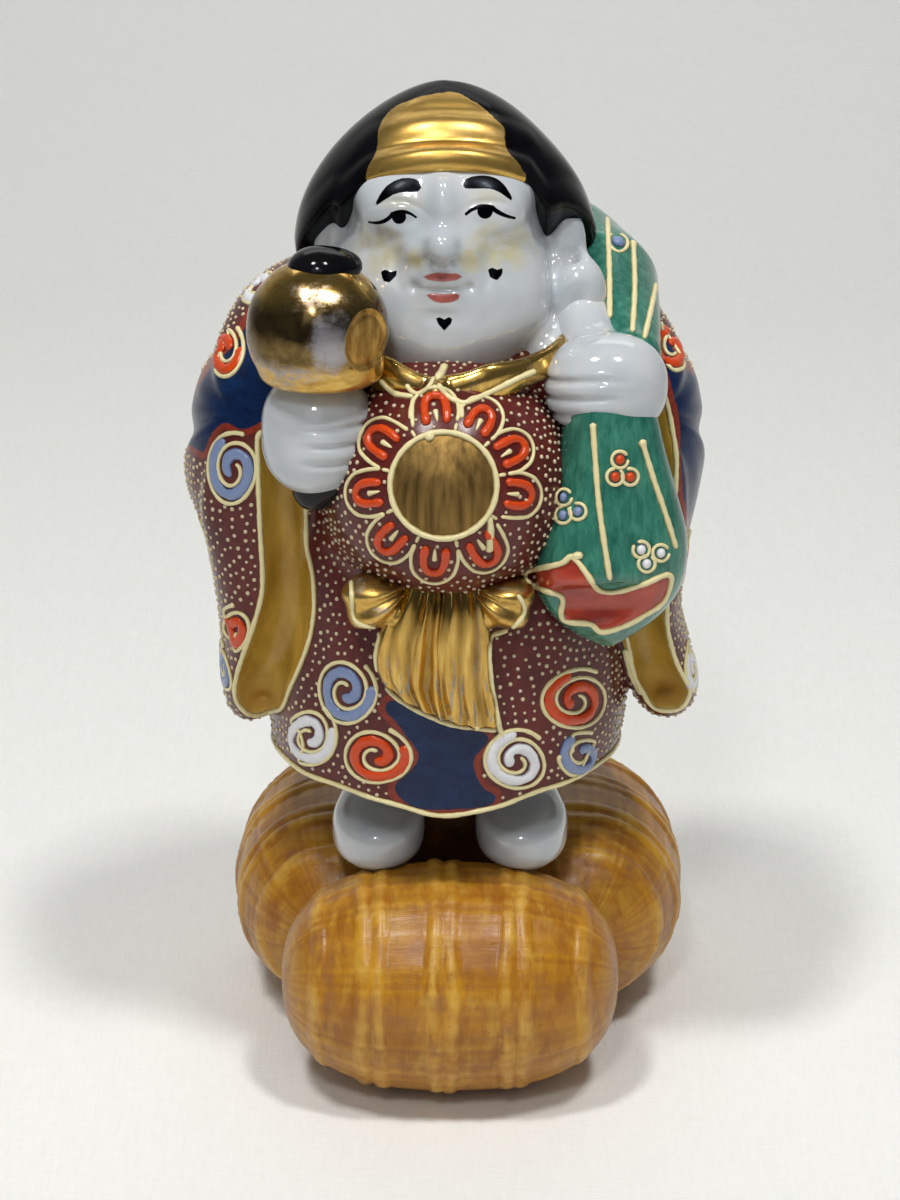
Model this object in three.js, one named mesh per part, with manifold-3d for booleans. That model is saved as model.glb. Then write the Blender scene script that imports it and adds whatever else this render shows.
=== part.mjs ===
// A porcelain ornament: a stout lucky god in a cap and a long-sleeved robe, holding up a mallet and
// gripping the neck of a sack that hangs over one shoulder, standing on three straw rice bales.
// It is one glazed casting, so it is one solid. Millimetres, +Z up. The figure faces -Y, and the
// origin is in the middle of the flat underside.

import * as THREE from "three";
import { mergeVertices } from "three/addons/utils/BufferGeometryUtils.js";
import Module from "manifold-3d";

const wasm = await Module();
wasm.setup();

// Bales: one lies crosswise in front, and two side by side point back from under the heels.
const baleRadius = 27.6;
const baleLength = 82;
const baleEndRoundness = 2.5;
const footFlat = 0.5;
const frontBaleForward = 33.5;
const backBaleSpread = 30.2;
const backBaleShift = 2.2;
const backBaleBack = 25;
const ropeProud = 1;
const ropePitch = 4;
const ropeBandSpacing = 17.2;
const ropeBandShift = -1.6;
const endRopeInset = 9;

// Figure: its pose, proportions and carving are shares of its own height, from the soles to the top
// of the cap, counted on a grid of 187 units. The soles sink a little into the straw.
const figureHeight = 187;
const gridHeight = 187;
const soleSink = 3;

const unit = figureHeight / gridHeight;
const baleAxisHeight = baleRadius + ropeProud - footFlat;
const soleHeight = baleAxisHeight + baleRadius - soleSink;
const frontBaleY = -frontBaleForward;

// The shape of a form is a function of a point: below zero inside it, above zero outside it, and
// close to the distance in grid units near its surface.

function powerNorm(a, b, power) {
  return Math.pow(Math.pow(Math.abs(a), power) + Math.pow(Math.abs(b), power), 1 / power);
}

// A ball with three radii. Its plan is an ellipse, and its profile a superellipse of that power.
function ball(centre, radii, profile = 2) {
  const [cx, cy, cz] = centre;
  const [rx, ry, rz] = radii;
  return ([x, y, z]) => {
    const qx = (x - cx) / rx;
    const qy = (y - cy) / ry;
    const qz = (z - cz) / rz;
    const plan = Math.hypot(qx, qy);
    const size = powerNorm(plan, qz, profile);
    if (size < 1e-6) return -Math.min(rx, ry, rz);
    const planSlope = plan > 1e-9 ? Math.pow(plan / size, profile - 1) / plan : 0;
    const slope = Math.hypot(
      (planSlope * qx) / rx,
      (planSlope * qy) / ry,
      Math.pow(Math.abs(qz) / size, profile - 1) / rz,
    );
    return (size - 1) / slope;
  };
}

// A smooth curve through rows of numbers, looked up by the first number in each row.
function along(rows, at) {
  const last = rows.length - 1;
  let i = 0;
  while (i < last - 1 && at > rows[i + 1][0]) i += 1;
  const span = rows[i + 1][0] - rows[i][0];
  const t = Math.min(1, Math.max(0, (at - rows[i][0]) / span));
  const slope = (row, column) => {
    const before = Math.max(0, row - 1);
    const after = Math.min(last, row + 1);
    return (rows[after][column] - rows[before][column]) / (rows[after][0] - rows[before][0]);
  };
  return rows[i].slice(1).map((start, k) => {
    const end = rows[i + 1][k + 1];
    const leave = slope(i, k + 1) * span;
    const arrive = slope(i + 1, k + 1) * span;
    const square = t * t;
    const cube = square * t;
    return (
      start * (2 * cube - 3 * square + 1) +
      leave * (cube - 2 * square + t) +
      end * (3 * square - 2 * cube) +
      arrive * (cube - square)
    );
  });
}

// An upright form whose section is a superellipse. Each row has a height, the section's middle and
// half width across the figure, and its front and back.
function column(rows, roundness = 2.2, turn = 0, pivot = [0, 0]) {
  const low = rows[0][0];
  const high = rows[rows.length - 1][0];
  const cos = Math.cos(turn);
  const sin = Math.sin(turn);
  return ([px, py, z]) => {
    const x = pivot[0] + (px - pivot[0]) * cos + (py - pivot[1]) * sin;
    const y = pivot[1] - (px - pivot[0]) * sin + (py - pivot[1]) * cos;
    const [middle, half, front, back] = along(rows, Math.min(high, Math.max(low, z)));
    const deep = (back - front) / 2;
    const qx = (x - middle) / half;
    const qy = (y - front - deep) / deep;
    const size = powerNorm(qx, qy, roundness);
    const past = Math.max(low - z, z - high);
    if (size < 1e-6) return Math.max(-Math.min(half, deep), past);
    const slope = Math.hypot(
      Math.pow(Math.abs(qx) / size, roundness - 1) / half,
      Math.pow(Math.abs(qy) / size, roundness - 1) / deep,
    );
    return Math.max((size - 1) / slope, past);
  };
}

// A limb or neck: a ball that grows or shrinks as it moves from one place to another.
function limb(from, to, fromRadius, toRadius) {
  const axis = to.map((value, k) => value - from[k]);
  const lengthSquared = axis.reduce((sum, value) => sum + value * value, 0);
  return (p) => {
    const rise = axis.reduce((sum, value, k) => sum + value * (p[k] - from[k]), 0);
    const t = Math.min(1, Math.max(0, rise / lengthSquared));
    const gap = Math.hypot(...p.map((value, k) => value - from[k] - axis[k] * t));
    return gap - fromRadius - (toRadius - fromRadius) * t;
  };
}

// Forms run into each other over a fillet of that size.
function melt(fillet, ...forms) {
  return (p) =>
    forms
      .map((form) => form(p))
      .reduce((a, b) => {
        const near = Math.max(fillet - Math.abs(a - b), 0) / fillet;
        return Math.min(a, b) - (near * near * fillet) / 4;
      });
}

// One form with another hollowed out of it, with a rounded edge of that size.
function hollowed(round, form, hollow) {
  return (p) => {
    const a = form(p);
    const b = -hollow(p);
    const near = Math.max(round - Math.abs(a - b), 0) / round;
    return Math.max(a, b) + (near * near * round) / 4;
  };
}

// A form with relief: a height, in grid units, added to its surface.
function carved(form, relief) {
  return (p) => form(p) - relief(p);
}

// A form leaned back about a centre by an angle, like a cap pushed off the brow.
function leaned(form, centre, angle) {
  const cos = Math.cos(angle);
  const sin = Math.sin(angle);
  return ([x, py, pz]) => {
    const y = py - centre[1];
    const z = pz - centre[2];
    return form([x, centre[1] + y * cos - z * sin, centre[2] + y * sin + z * cos]);
  };
}

const bump = (distance, width) => Math.exp(-((distance / width) ** 2));
const mirrored = ([x, y, z]) => [-x, y, z];

// Cap: a full crown that sits low at the back, with a thick roll over the brow. Its rim leans back and
// drops at the temples, and behind the ears it curves in to the head under the rim.
const capTilt = 0.84;
const capLean = Math.atan(capTilt);
const capEdgeHeight = 152.3;
const capCrown = ball([-1, 2, 151], [35.5, 34.5, 36.7], 1.65);
const capEdgeAt = (y) => capEdgeHeight - capTilt * y;
// How far the rim is from its height over the brow, by the place across the figure: it has a point at
// each temple, with the ear beside it.
const rimLine = [
  [60, 0.5],
  [34, 0.5],
  [30, -0.3],
  [26, -2.4],
  [22, -6],
  [18, 0],
  [-18, 0],
  [-25, -4.6],
  [-27, -3],
  [-31, -5.6],
  [-36, -7.5],
  [-60, -7.5],
];
const browRoll = ([x, y, z]) => {
  const rise = z - capEdgeAt(y);
  const onBrow = y < 0 ? bump(x, 19) : 0;
  return onBrow * (1.9 * bump(rise - 4.5, 3.6) - 1.1 * bump(rise - 10.5, 2.4));
};
const cap = carved(capCrown, browRoll);
const capUnderAt = [-1, 3.5, capEdgeAt(3.5)];
const capUnder = leaned(ball(capUnderAt, [34.2, 38, 10]), capUnderAt, capLean);
const behindEars = 3;

// Head: full cheeks and a round double chin, with its features a little towards the mallet.
const faceMiddle = -1.8;
const onFace = (across, y, z) => [faceMiddle + across, y, z];
const pair = (place, radii) => [1, -1].map((side) => ball(place(side), radii));
const skull = ball([-1.4, -3, 147], [24.4, 25.5, 27], 2.2);
const cheeks = pair((side) => onFace(side * 12, -17, 140), [12, 11, 12]);
const chin = ball(onFace(1.5, -18.5, 131), [13, 10.5, 9.5]);
const nose = [
  ball(onFace(0, -29, 156), [4.2, 4.6, 4]),
  ball(onFace(0.2, -24.2, 162), [3, 4.2, 8]),
  ...pair((side) => onFace(side * 5.2, -26, 154.6), [3.4, 3.3, 2.9]),
];
const eyelids = pair((side) => onFace(side * 10.5, -20.2, 162.5), [6.4, 4.6, 4.4]);
const brow = ball(onFace(0.5, -11.5, 166.5), [22.5, 12, 8]);
const lips = [
  ball(onFace(0, -27.2, 148.3), [5.2, 1.9, 1.7]),
  ball(onFace(0, -26.6, 143.3), [4.4, 2, 1.8]),
];
const face = melt(9, skull, ...cheeks, chin);
const head = melt(4, melt(7, face, brow, ...eyelids), melt(3, ...nose), melt(1.5, ...lips));
const ear = melt(5, ball([26.8, -5, 151.5], [4.8, 5, 8.4]), ball([29.6, -11, 137], [7, 6.4, 12.4], 2.4));

// Mallet: a stout barrel with two flat ends and a ledge under it, on a short handle held upright in the
// fist.
const malletCentre = [-29.6, -38, 139.2];
const malletRadius = 16;
const malletEndRadius = 7.2;
const malletTurn = Math.atan2(-0.64, 0.76);
const malletEnd = Math.sqrt(malletRadius ** 2 - malletEndRadius ** 2);
const malletFoot = 127.2;
const ledgeAt = [-28.9, -38.5, 130.6];
const ledge = ball(ledgeAt, [14, 13.6, 4.4], 3);
const handleTop = melt(2, ball([-29, -38, 152.8], [7.2, 7.2, 5.2]), ball([-24.6, -36.5, 153.2], [5.2, 5.4, 3.6]));
const handleFoot = melt(3, ball([-28, -37.5, 104.5], [8, 7, 6]), ball([-31, -37.5, 100.5], [4.6, 4.4, 4]));

// Fists: four fingers side by side, with a groove between each and the next.
const fingerPitch = 4.1;
const fingerDepth = 1;
function fist(form, middle, knucklesAt, towards) {
  const grooves = ([x, y, z]) => {
    const finger = (z - middle[2]) / fingerPitch;
    if (y > middle[1] + 4 || Math.abs(finger) > 2) return 0;
    const held = 1 / (1 + Math.exp(-(x - knucklesAt) * towards));
    return -fingerDepth * held * Math.cos(Math.PI * finger) ** 8;
  };
  return carved(form, grooves);
}
const malletFistAt = [-30, -35.5, 114.5];
const malletFist = fist(ball(malletFistAt, [12.9, 13, 14], 2.5), malletFistAt, -31, 0.7);
const sackFistAt = [35.6, -30.5, 124];
const sackFist = fist(ball(sackFistAt, [14, 12, 12], 2.3), sackFistAt, 36, -0.5);
const wrist = { from: [31, -13, 134], to: [32.8, -21, 130] };

// Robe: a barrel of cloth over a round belly, with soft folds down its back.
const hemHeight = 22;
const hemPoint = 4.6;
const hemPointWidth = 16;
const hemAt = (x) => hemHeight + hemPoint * (1 - bump(x, hemPointWidth));
const robeRows = [
  [8, -1, 39.6, -41, 34],
  [hemHeight, -1.2, 42, -44, 37],
  [40, -0.5, 44, -46, 39],
  [60, -0.2, 44.3, -45, 40],
  [80, 0, 43.5, -42, 40],
  [100, 0, 43, -36, 40],
  [118, 0, 41, -30, 37],
  [132, 0, 35, -25, 32],
  [142, 0, 25, -18, 24],
  [148, 0, 12, -8, 12],
];
const foldPitch = 19;
const foldDepth = 1;
const backFolds = ([x, y, z]) => {
  const low = 1 / (1 + Math.exp((z - 84) / 9));
  const behind = 1 / (1 + Math.exp((14 - y) / 4));
  return foldDepth * low * behind * Math.cos((2 * Math.PI * x) / foldPitch);
};
const belly = melt(4, ball([-1, -27, 103.5], [28.5, 30, 26]), ball([-1, -26.5, 98.5], [28.2, 29.6, 24], 2.3));
const robe = melt(4, carved(column(robeRows, 2), backFolds), belly);

// Sleeves: each hangs from a raised forearm, with folds that fan out from the elbow, and its mouth
// is a long shallow hollow that faces forward.
const malletSleeveRows = [
  [34, -49, 4, -12, 2],
  [38, -48, 7, -17, 7],
  [44, -47, 8.6, -21, 12],
  [52, -45.5, 10.2, -24, 18],
  [62, -44, 12.4, -27, 24],
  [78, -43, 16, -29, 28],
  [92, -42.5, 20, -30, 31],
  [104, -41.5, 21, -30, 33],
  [116, -38, 21.7, -29, 33],
  [126, -33, 22.4, -26, 31],
  [136, -27, 22, -15, 28],
  [143, -20, 20, -6, 22],
  [147, -14, 12, -1, 14],
];
const malletSleeveMouth = [
  [37, -46, 2, -26, -4],
  [41, -46, 5, -31, -9],
  [48, -44.8, 6.2, -34, -14],
  [55, -42.5, 6.6, -36, -18],
  [64, -39.6, 6.4, -38, -21.5],
  [74, -38, 5.7, -40, -24],
  [90, -38.3, 5.5, -41, -25],
  [112, -38.8, 5.3, -41, -25],
];
const sackSleeveRows = [
  [34, 53, 4.5, -10, 3],
  [38, 52.8, 7.4, -15, 8],
  [44, 51.4, 9, -19, 13],
  [52, 48.6, 10, -22, 18],
  [62, 45.4, 11, -25, 24],
  [78, 43, 15, -28, 28],
  [92, 41.5, 18, -30, 31],
  [104, 40, 20.6, -30, 33],
  [114, 37.5, 21.6, -29, 33],
  [124, 34, 22, -26, 31],
  [134, 27, 21.5, -14, 28],
  [142, 20, 19, -4, 22],
  [147, 14, 12, 0, 14],
];
const sackSleeveMouth = [
  [38, 53, 2.5, -24, -3],
  [42, 52.5, 5.6, -29, -7],
  [47, 50, 6.2, -32, -11],
  [54, 47.8, 5.6, -34, -15],
  [64, 46, 5.6, -36, -19],
  [80, 46.4, 5.6, -37, -22],
  [100, 47.4, 5.6, -38, -23],
  [116, 47.6, 5.4, -38, -23],
  [127, 44, 4.6, -36, -22],
];
const elbow = { y: -26, z: 116 };
const sleeveFoldDepth = 0.9;
const sleeveFolds = ([x, y, z]) => {
  const away = Math.hypot(y - elbow.y, z - elbow.z);
  const angle = Math.atan2(elbow.z - z, y - elbow.y);
  const outside = 1 / (1 + Math.exp((44 - Math.abs(x)) / 2));
  const reach = bump(away - 34, 22);
  return sleeveFoldDepth * outside * reach * Math.cos(angle * 9 - 0.8);
};

// Collar: a rounded band round the neck of the robe that dips to a small knot in front.
const collarMiddle = [1, -14];
const collarWide = 26;
const collarDeep = 25.5;
const collarThick = 2.3;
const knotCentre = [-3, -41.2, 124.8];
const collarTall = (x) => 3.4 + 2.2 * bump(Math.abs(x - knotCentre[0]) - 8, 8);
const collarDip = 4.4;
const collarHeight = (x, y) =>
  127.4 + 0.1 * (y - knotCentre[1]) - collarDip * bump(Math.hypot(x - knotCentre[0], y - knotCentre[1]), 15);
const collarKnot = ball(knotCentre, [3.2, 2.8, 3.4]);

// Sash: a knot of two loops under the belly, and a pleated tail that hangs from it. Each row of the
// tail has a height at its two sides, where those sides are, and its front.
const sashTailRows = [
  { left: [-15.6, 57.6], right: [11.6, 46.4], front: -48 },
  { left: [-17, 62], right: [10, 54], front: -49 },
  { left: [-16.6, 68], right: [9.4, 64], front: -49.2 },
  { left: [-14, 76], right: [8.6, 75], front: -48.6 },
  { left: [-12, 82], right: [7.6, 82], front: -46 },
];
const sashPleats = 6;
const pleatDepth = 1;
const sashThickness = 8;
// Each loop has a long trough in its fold.
const sashLoops = [
  { at: [-17, -43.5, 76.9], radii: [7.4, 7, 6.6], way: -1 },
  { at: [12.2, -43.5, 76.6], radii: [6.8, 7, 6.2], way: 1 },
];

// Sack: its neck goes through the fist, its mouth flares below, and its bulk lies on the back.
const sackTurn = 0.36;
const sackMouthRows = [
  [64, 33.5, 2.5, -40, -28],
  [67, 34, 8, -43, -27],
  [71, 34.4, 13, -45.5, -25.5],
  [76, 34.4, 16.6, -47.5, -25],
  [82, 34.4, 17.8, -49, -25],
  [90, 35, 17.2, -48, -25],
  [101, 35.6, 14, -46, -25],
  [112, 35.4, 11.6, -44, -25],
  [122, 35, 10, -42, -24],
];
const sackMouthPivot = [35, -30];
const sackSkirt = column(sackMouthRows, 2.3, sackTurn, sackMouthPivot);
const sackMouth = ball([36, -49, 76], [17, 5, 7]);
const sackBulk = melt(
  6,
  ball([22, 25, 119], [30, 24, 38]),
  limb([40.5, -20, 127], [35, 12, 136], 8.5, 15),
);

// Boots: a broad square toe, a dished instep and a leg that widens from the ankle into the robe.
function boot(side) {
  const footAt = [side * 17.6, -15.4, 7.6];
  const dishAt = [side * 15.6, -23.5, 17.6];
  const leg = column([
    [6, side * 18.4, 7.2, -15, 6],
    [13, side * 18.4, 7.4, -15.8, 7],
    [18, side * 18.4, 7.8, -17.4, 7],
    [24, side * 18.4, 9.6, -19, 8],
    [34, side * 18, 11.6, -20, 8],
  ]);
  return { footAt, foot: ball(footAt, [11.4, 17.2, 7.8], 3), dishAt, dish: ball(dishAt, [8.4, 8.6, 4.6]), leg };
}

// Core: a low mound that carries the robe on the bales, behind and between the boots.
const coreAt = [0, 10, 6];
const core = ball(coreAt, [24, 22, 30], 3);

// Bales: straw barrels, each bound by three double ropes and a single rope near either end.
function baleProfile() {
  const half = baleLength / 2;
  const straw = (x) =>
    baleRadius * Math.pow(1 - Math.pow(Math.abs(x) / half, baleEndRoundness), 1 / baleEndRoundness);
  const end = half - endRopeInset;
  const doubles = [-1, 0, 1].map((n) => ropeBandShift + n * ropeBandSpacing);
  const bands = doubles.flatMap((middle) => [
    [middle - ropePitch, 0],
    [middle - ropePitch / 2, ropeProud],
    [middle, ropeProud * 0.2],
    [middle + ropePitch / 2, ropeProud],
    [middle + ropePitch, 0],
  ]);
  const endRopes = [-end, end].flatMap((place) => [
    [place - ropePitch / 2, 0],
    [place, ropeProud],
    [place + ropePitch / 2, 0],
  ]);
  const tips = [0.965, 0.9].map((share) => share * half);
  const rows = [...bands, ...endRopes, ...tips.map((x) => [x, 0]), ...tips.map((x) => [-x, 0])];
  const rings = rows.sort((a, b) => a[0] - b[0]).map(([x, proud]) => new THREE.Vector2(straw(x) + proud, x));
  return [new THREE.Vector2(0, -half), ...rings, new THREE.Vector2(0, half)];
}

// Solids. Each form's surface is found from a cage: a closed geometry whose points move along their
// normals, from the cage's own axis, until they meet the form.

function moulded(cage, form, reach = 90) {
  cage.deleteAttribute("uv");
  const points = cage.getAttribute("position");
  const normals = cage.getAttribute("normal");
  for (let i = 0; i < points.count; i += 1) {
    const start = [points.getX(i), points.getY(i), points.getZ(i)];
    const way = [normals.getX(i), normals.getY(i), normals.getZ(i)];
    let inside = 0;
    let outside = reach;
    while (outside - inside > 0.002) {
      const middle = (inside + outside) / 2;
      if (form(start.map((value, k) => value + way[k] * middle)) < 0) inside = middle;
      else outside = middle;
    }
    const [x, y, z] = start.map((value, k) => value + way[k] * inside);
    points.setXYZ(i, x, y, z);
  }
  return solid(cage);
}

function solid(geometry) {
  const bare = geometry.clone();
  bare.deleteAttribute("normal");
  bare.deleteAttribute("uv");
  const merged = mergeVertices(bare, 1e-3);
  return new wasm.Manifold(
    new wasm.Mesh({
      numProp: 3,
      vertProperties: new Float32Array(merged.getAttribute("position").array),
      triVerts: new Uint32Array(merged.index.array),
    }),
  );
}

// A cage that is a point: every ray starts at its centre.
function roundCage(centre, around, rings) {
  return new THREE.SphereGeometry(1e-3, around, rings).rotateX(Math.PI / 2).translate(...centre);
}

// A cage that is a line between two points, with level rings on its way.
function longCage(from, to, around, rings, capRings = 4) {
  const start = new THREE.Vector3(...from);
  const axis = new THREE.Vector3(...to).sub(start);
  const turn = new THREE.Quaternion().setFromUnitVectors(
    new THREE.Vector3(0, 1, 0),
    axis.clone().normalize(),
  );
  const middle = start.clone().addScaledVector(axis, 0.5);
  return new THREE.CapsuleGeometry(1e-3, axis.length(), capRings, around, rings)
    .applyQuaternion(turn)
    .translate(middle.x, middle.y, middle.z);
}

function block(width, depth, height, centre, turnX = 0, turnZ = 0) {
  return solid(
    new THREE.BoxGeometry(width, depth, height).rotateX(turnX).rotateZ(turnZ).translate(...centre),
  );
}

function joined(parts) {
  return parts.reduce((whole, part) => whole.add(part));
}

function underRim() {
  const side = rimLine[0][0];
  const line = new THREE.Shape().moveTo(-side, -2 * side).lineTo(side, -2 * side);
  for (const [x, height] of rimLine) line.lineTo(x, height);
  const lean = new THREE.Matrix4().set(1, 0, 0, 0, 0, 1, 0, 0, 0, -capTilt, 1, capEdgeHeight, 0, 0, 0, 1);
  return solid(
    new THREE.ExtrudeGeometry(line, { depth: 2 * side, bevelEnabled: false })
      .rotateX(Math.PI / 2)
      .translate(0, side, 0)
      .applyMatrix4(lean),
  );
}

function capSolid() {
  const cage = new THREE.SphereGeometry(1e-3, 28, 13).rotateX(Math.PI / 2 - capLean).translate(0, 0, 158);
  const crown = moulded(cage, cap);
  const under = new THREE.SphereGeometry(1e-3, 20, 6).rotateX(Math.PI / 2 - capLean).translate(...capUnderAt);
  const size = 200;
  const front = block(size, size, size, [0, behindEars - size / 2, capEdgeHeight]);
  return joined([crown.subtract(underRim()), moulded(under, capUnder).subtract(front)]);
}

function headSolid() {
  const front = moulded(roundCage(onFace(0, -13, 148), 32, 21), head);
  const ears = [1, -1].map((side) =>
    moulded(roundCage([side * 28.4, -8.5, 144], 12, 10), side > 0 ? ear : (p) => ear(mirrored(p))),
  );
  return joined([front, ...ears]);
}

function malletSolid() {
  const barrel = moulded(roundCage(malletCentre, 16, 9), ball(malletCentre, Array(3).fill(malletRadius)));
  const ends = block(2 * malletEnd, 60, 60, malletCentre, 0, malletTurn);
  const low = block(80, 80, 40, [malletCentre[0], malletCentre[1], malletFoot - 20]);
  return joined([
    joined([barrel.intersect(ends), moulded(roundCage(ledgeAt, 14, 6), ledge)]).subtract(low),
    moulded(roundCage([-28, -37.8, 152.6], 12, 6), handleTop),
    moulded(roundCage([-28.5, -37.5, 104], 9, 5), handleFoot),
  ]);
}

function fistSolid(form, [x, y, z]) {
  const half = 2 * fingerPitch;
  return moulded(longCage([x, y, z - half], [x, y, z + half], 12, 8, 2), form);
}

function sleeveSolid(side, rows) {
  const form = carved(column(rows), sleeveFolds);
  return moulded(longCage([side * 47, -3, 46], [side * 30, 4, 128], 18, 10, 2), form);
}

function sleeveMouth(mouth) {
  const middle = (row) => [row[1], (row[3] + row[4]) / 2, row[0]];
  const ends = [middle(mouth[1]), middle(mouth[mouth.length - 2])];
  return moulded(longCage(...ends, 9, 5, 2), column(mouth, 2));
}

function underHem() {
  const side = 60;
  const steps = 20;
  const line = new THREE.Shape().moveTo(-side, -side).lineTo(side, -side);
  for (let i = 0; i <= steps; i += 1) {
    const x = side - (2 * side * i) / steps;
    line.lineTo(x, hemAt(x));
  }
  const front = new THREE.ExtrudeGeometry(line, { depth: side, bevelEnabled: false }).rotateX(Math.PI / 2);
  const back = block(2 * side, side, side, [0, side / 2, hemAt(side) - side / 2]);
  return solid(front).add(back);
}

function robeSolid() {
  const body = moulded(longCage([0, -3, 20], [0, -5, 118], 32, 11, 3), robe);
  const whole = joined([
    body.subtract(underHem()),
    sleeveSolid(-1, malletSleeveRows),
    sleeveSolid(1, sackSleeveRows),
  ]);
  return whole.subtract(sleeveMouth(malletSleeveMouth)).subtract(sleeveMouth(sackSleeveMouth));
}

function collarSolid() {
  const ring = new THREE.TorusGeometry(10, 1, 4, 24);
  const points = ring.getAttribute("position");
  for (let i = 0; i < points.count; i += 1) {
    const angle = Math.atan2(points.getY(i), points.getX(i));
    const out = (Math.hypot(points.getX(i), points.getY(i)) - 10) * collarThick;
    const x = collarMiddle[0] + (collarWide + out) * Math.cos(angle);
    const y = collarMiddle[1] + (collarDeep + out) * Math.sin(angle);
    points.setXYZ(i, x, y, collarHeight(x, y) + points.getZ(i) * collarTall(x));
  }
  return joined([solid(ring), moulded(roundCage(knotCentre, 8, 5), collarKnot)]);
}

function sashSolid() {
  const rows = sashTailRows.length - 1;
  const tail = new THREE.BoxGeometry(1, 1, 1, 2 * sashPleats, 1, rows);
  const points = tail.getAttribute("position");
  for (let i = 0; i < points.count; i += 1) {
    const across = points.getX(i) + 0.5;
    const { left, right, front } = sashTailRows[Math.round((points.getZ(i) + 0.5) * rows)];
    const x = left[0] + (right[0] - left[0]) * across;
    const z = left[1] + (right[1] - left[1]) * across;
    const edge = 4 * sashThickness * (across - 0.5) ** 4;
    const pleat = pleatDepth * Math.cos(2 * Math.PI * sashPleats * across);
    points.setXYZ(i, x, points.getY(i) < 0 ? front + edge + pleat : front + sashThickness, z);
  }
  const loops = sashLoops.map(({ at: [x, y, z], radii, way }) => {
    const trough = limb([x + 5.5 * way, y - 7.8, z + 3], [x - 4.5 * way, y - 9.6, z - 0.6], 2.6, 4.4);
    return moulded(roundCage([x, y + 1, z], 14, 9), hollowed(2.2, ball([x, y, z], radii, 2.2), trough));
  });
  return joined([solid(tail), ...loops]);
}

function sackSolid() {
  const skirt = moulded(longCage([36, -32, 72], [35, -30, 116], 20, 5, 3), sackSkirt, 40);
  const bulk = moulded(longCage([38, -12, 128], [24, 20, 118], 18, 4, 4), sackBulk);
  const mouth = moulded(roundCage([36, -49, 76], 12, 5), sackMouth);
  return joined([skirt.subtract(mouth), bulk]);
}

function bootSolid(side) {
  const { footAt, foot, dishAt, dish, leg } = boot(side);
  const shoe = moulded(roundCage(footAt, 18, 10), foot).subtract(moulded(roundCage(dishAt, 12, 6), dish));
  return shoe.add(moulded(longCage([side * 18.4, -5.5, 9], [side * 18.2, -5.8, 31], 14, 4, 2), leg));
}

function baleSolid(x, y, turnZ) {
  const bale = new THREE.LatheGeometry(baleProfile(), 16).rotateZ(-Math.PI / 2);
  return solid(bale).rotate([0, 0, turnZ]).translate([x, y, baleAxisHeight]);
}

function balesSolid() {
  const three = joined([
    baleSolid(0, frontBaleY, 0),
    baleSolid(backBaleShift - backBaleSpread, backBaleBack, 90),
    baleSolid(backBaleShift + backBaleSpread, backBaleBack, 90),
  ]);
  return three.subtract(block(400, 400, 40, [0, 0, -20]));
}

function ornament() {
  const figure = joined([
    capSolid(),
    headSolid(),
    malletSolid(),
    fistSolid(malletFist, malletFistAt),
    fistSolid(sackFist, sackFistAt),
    moulded(longCage(wrist.from, wrist.to, 12, 2, 3), limb(wrist.from, wrist.to, 7.2, 6.8)),
    robeSolid(),
    collarSolid(),
    sashSolid(),
    sackSolid(),
    bootSolid(-1),
    bootSolid(1),
    moulded(roundCage(coreAt, 12, 6), core),
  ]);
  return balesSolid().add(figure.scale(unit).translate([0, 0, soleHeight]));
}

function meshOf(shape, name, material) {
  const { vertProperties, triVerts } = shape.getMesh();
  const geometry = new THREE.BufferGeometry()
    .setAttribute("position", new THREE.BufferAttribute(new Float32Array(vertProperties), 3))
    .setIndex(new THREE.BufferAttribute(new Uint32Array(triVerts), 1));
  geometry.computeVertexNormals();
  const mesh = new THREE.Mesh(geometry, material);
  mesh.name = name;
  return mesh;
}

const glaze = new THREE.MeshStandardMaterial({ color: 0xd9d4c8, roughness: 0.15, metalness: 0 });

// The origin is under the middle of the figure's width and depth.
function centred(shape) {
  const { min, max } = shape.boundingBox();
  return shape.translate([-(min[0] + max[0]) / 2, -(min[1] + max[1]) / 2, 0]);
}

const group = new THREE.Group();
group.add(meshOf(centred(ornament()), "daikoku_figure", glaze));

export default group;
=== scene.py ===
"""The looks of a porcelain ornament: a stout lucky god in a cap and a long-sleeved robe, with a mallet and a
sack, on three straw rice bales. Its white glaze is painted in maroon, blue, green and gold, and trailed with
raised enamel. Shapes are worked out in millimetres, above the soles of its boots, and become metres as their
meshes are made."""

import math

import bpy
import numpy as np
from mathutils import Matrix, Vector
from mathutils.bvhtree import BVHTree
from mathutils.kdtree import KDTree


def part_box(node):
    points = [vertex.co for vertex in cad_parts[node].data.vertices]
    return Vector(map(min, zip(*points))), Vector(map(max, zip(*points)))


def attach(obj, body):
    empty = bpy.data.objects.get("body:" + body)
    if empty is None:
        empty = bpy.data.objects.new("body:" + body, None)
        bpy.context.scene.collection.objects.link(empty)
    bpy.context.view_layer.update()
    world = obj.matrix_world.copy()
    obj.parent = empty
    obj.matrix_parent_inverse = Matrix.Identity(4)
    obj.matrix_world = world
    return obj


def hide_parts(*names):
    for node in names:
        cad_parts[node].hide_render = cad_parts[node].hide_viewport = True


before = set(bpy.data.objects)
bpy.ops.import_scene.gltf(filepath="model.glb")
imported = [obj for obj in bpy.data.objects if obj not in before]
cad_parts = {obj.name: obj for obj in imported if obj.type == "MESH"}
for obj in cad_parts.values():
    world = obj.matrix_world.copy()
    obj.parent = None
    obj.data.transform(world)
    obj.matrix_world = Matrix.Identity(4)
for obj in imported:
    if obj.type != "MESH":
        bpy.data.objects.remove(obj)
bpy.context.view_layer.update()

# Places. The figure's middle stands over the middle of the front bale, and the CAD frame's origin is under
# the middle of the whole casting.
CASTING_HEIGHT = 240.016
SOLE = 52.7
CASTING_MIDDLE = np.array([-1.12, 1.95, -SOLE])
lowest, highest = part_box("daikoku_figure")
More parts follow.
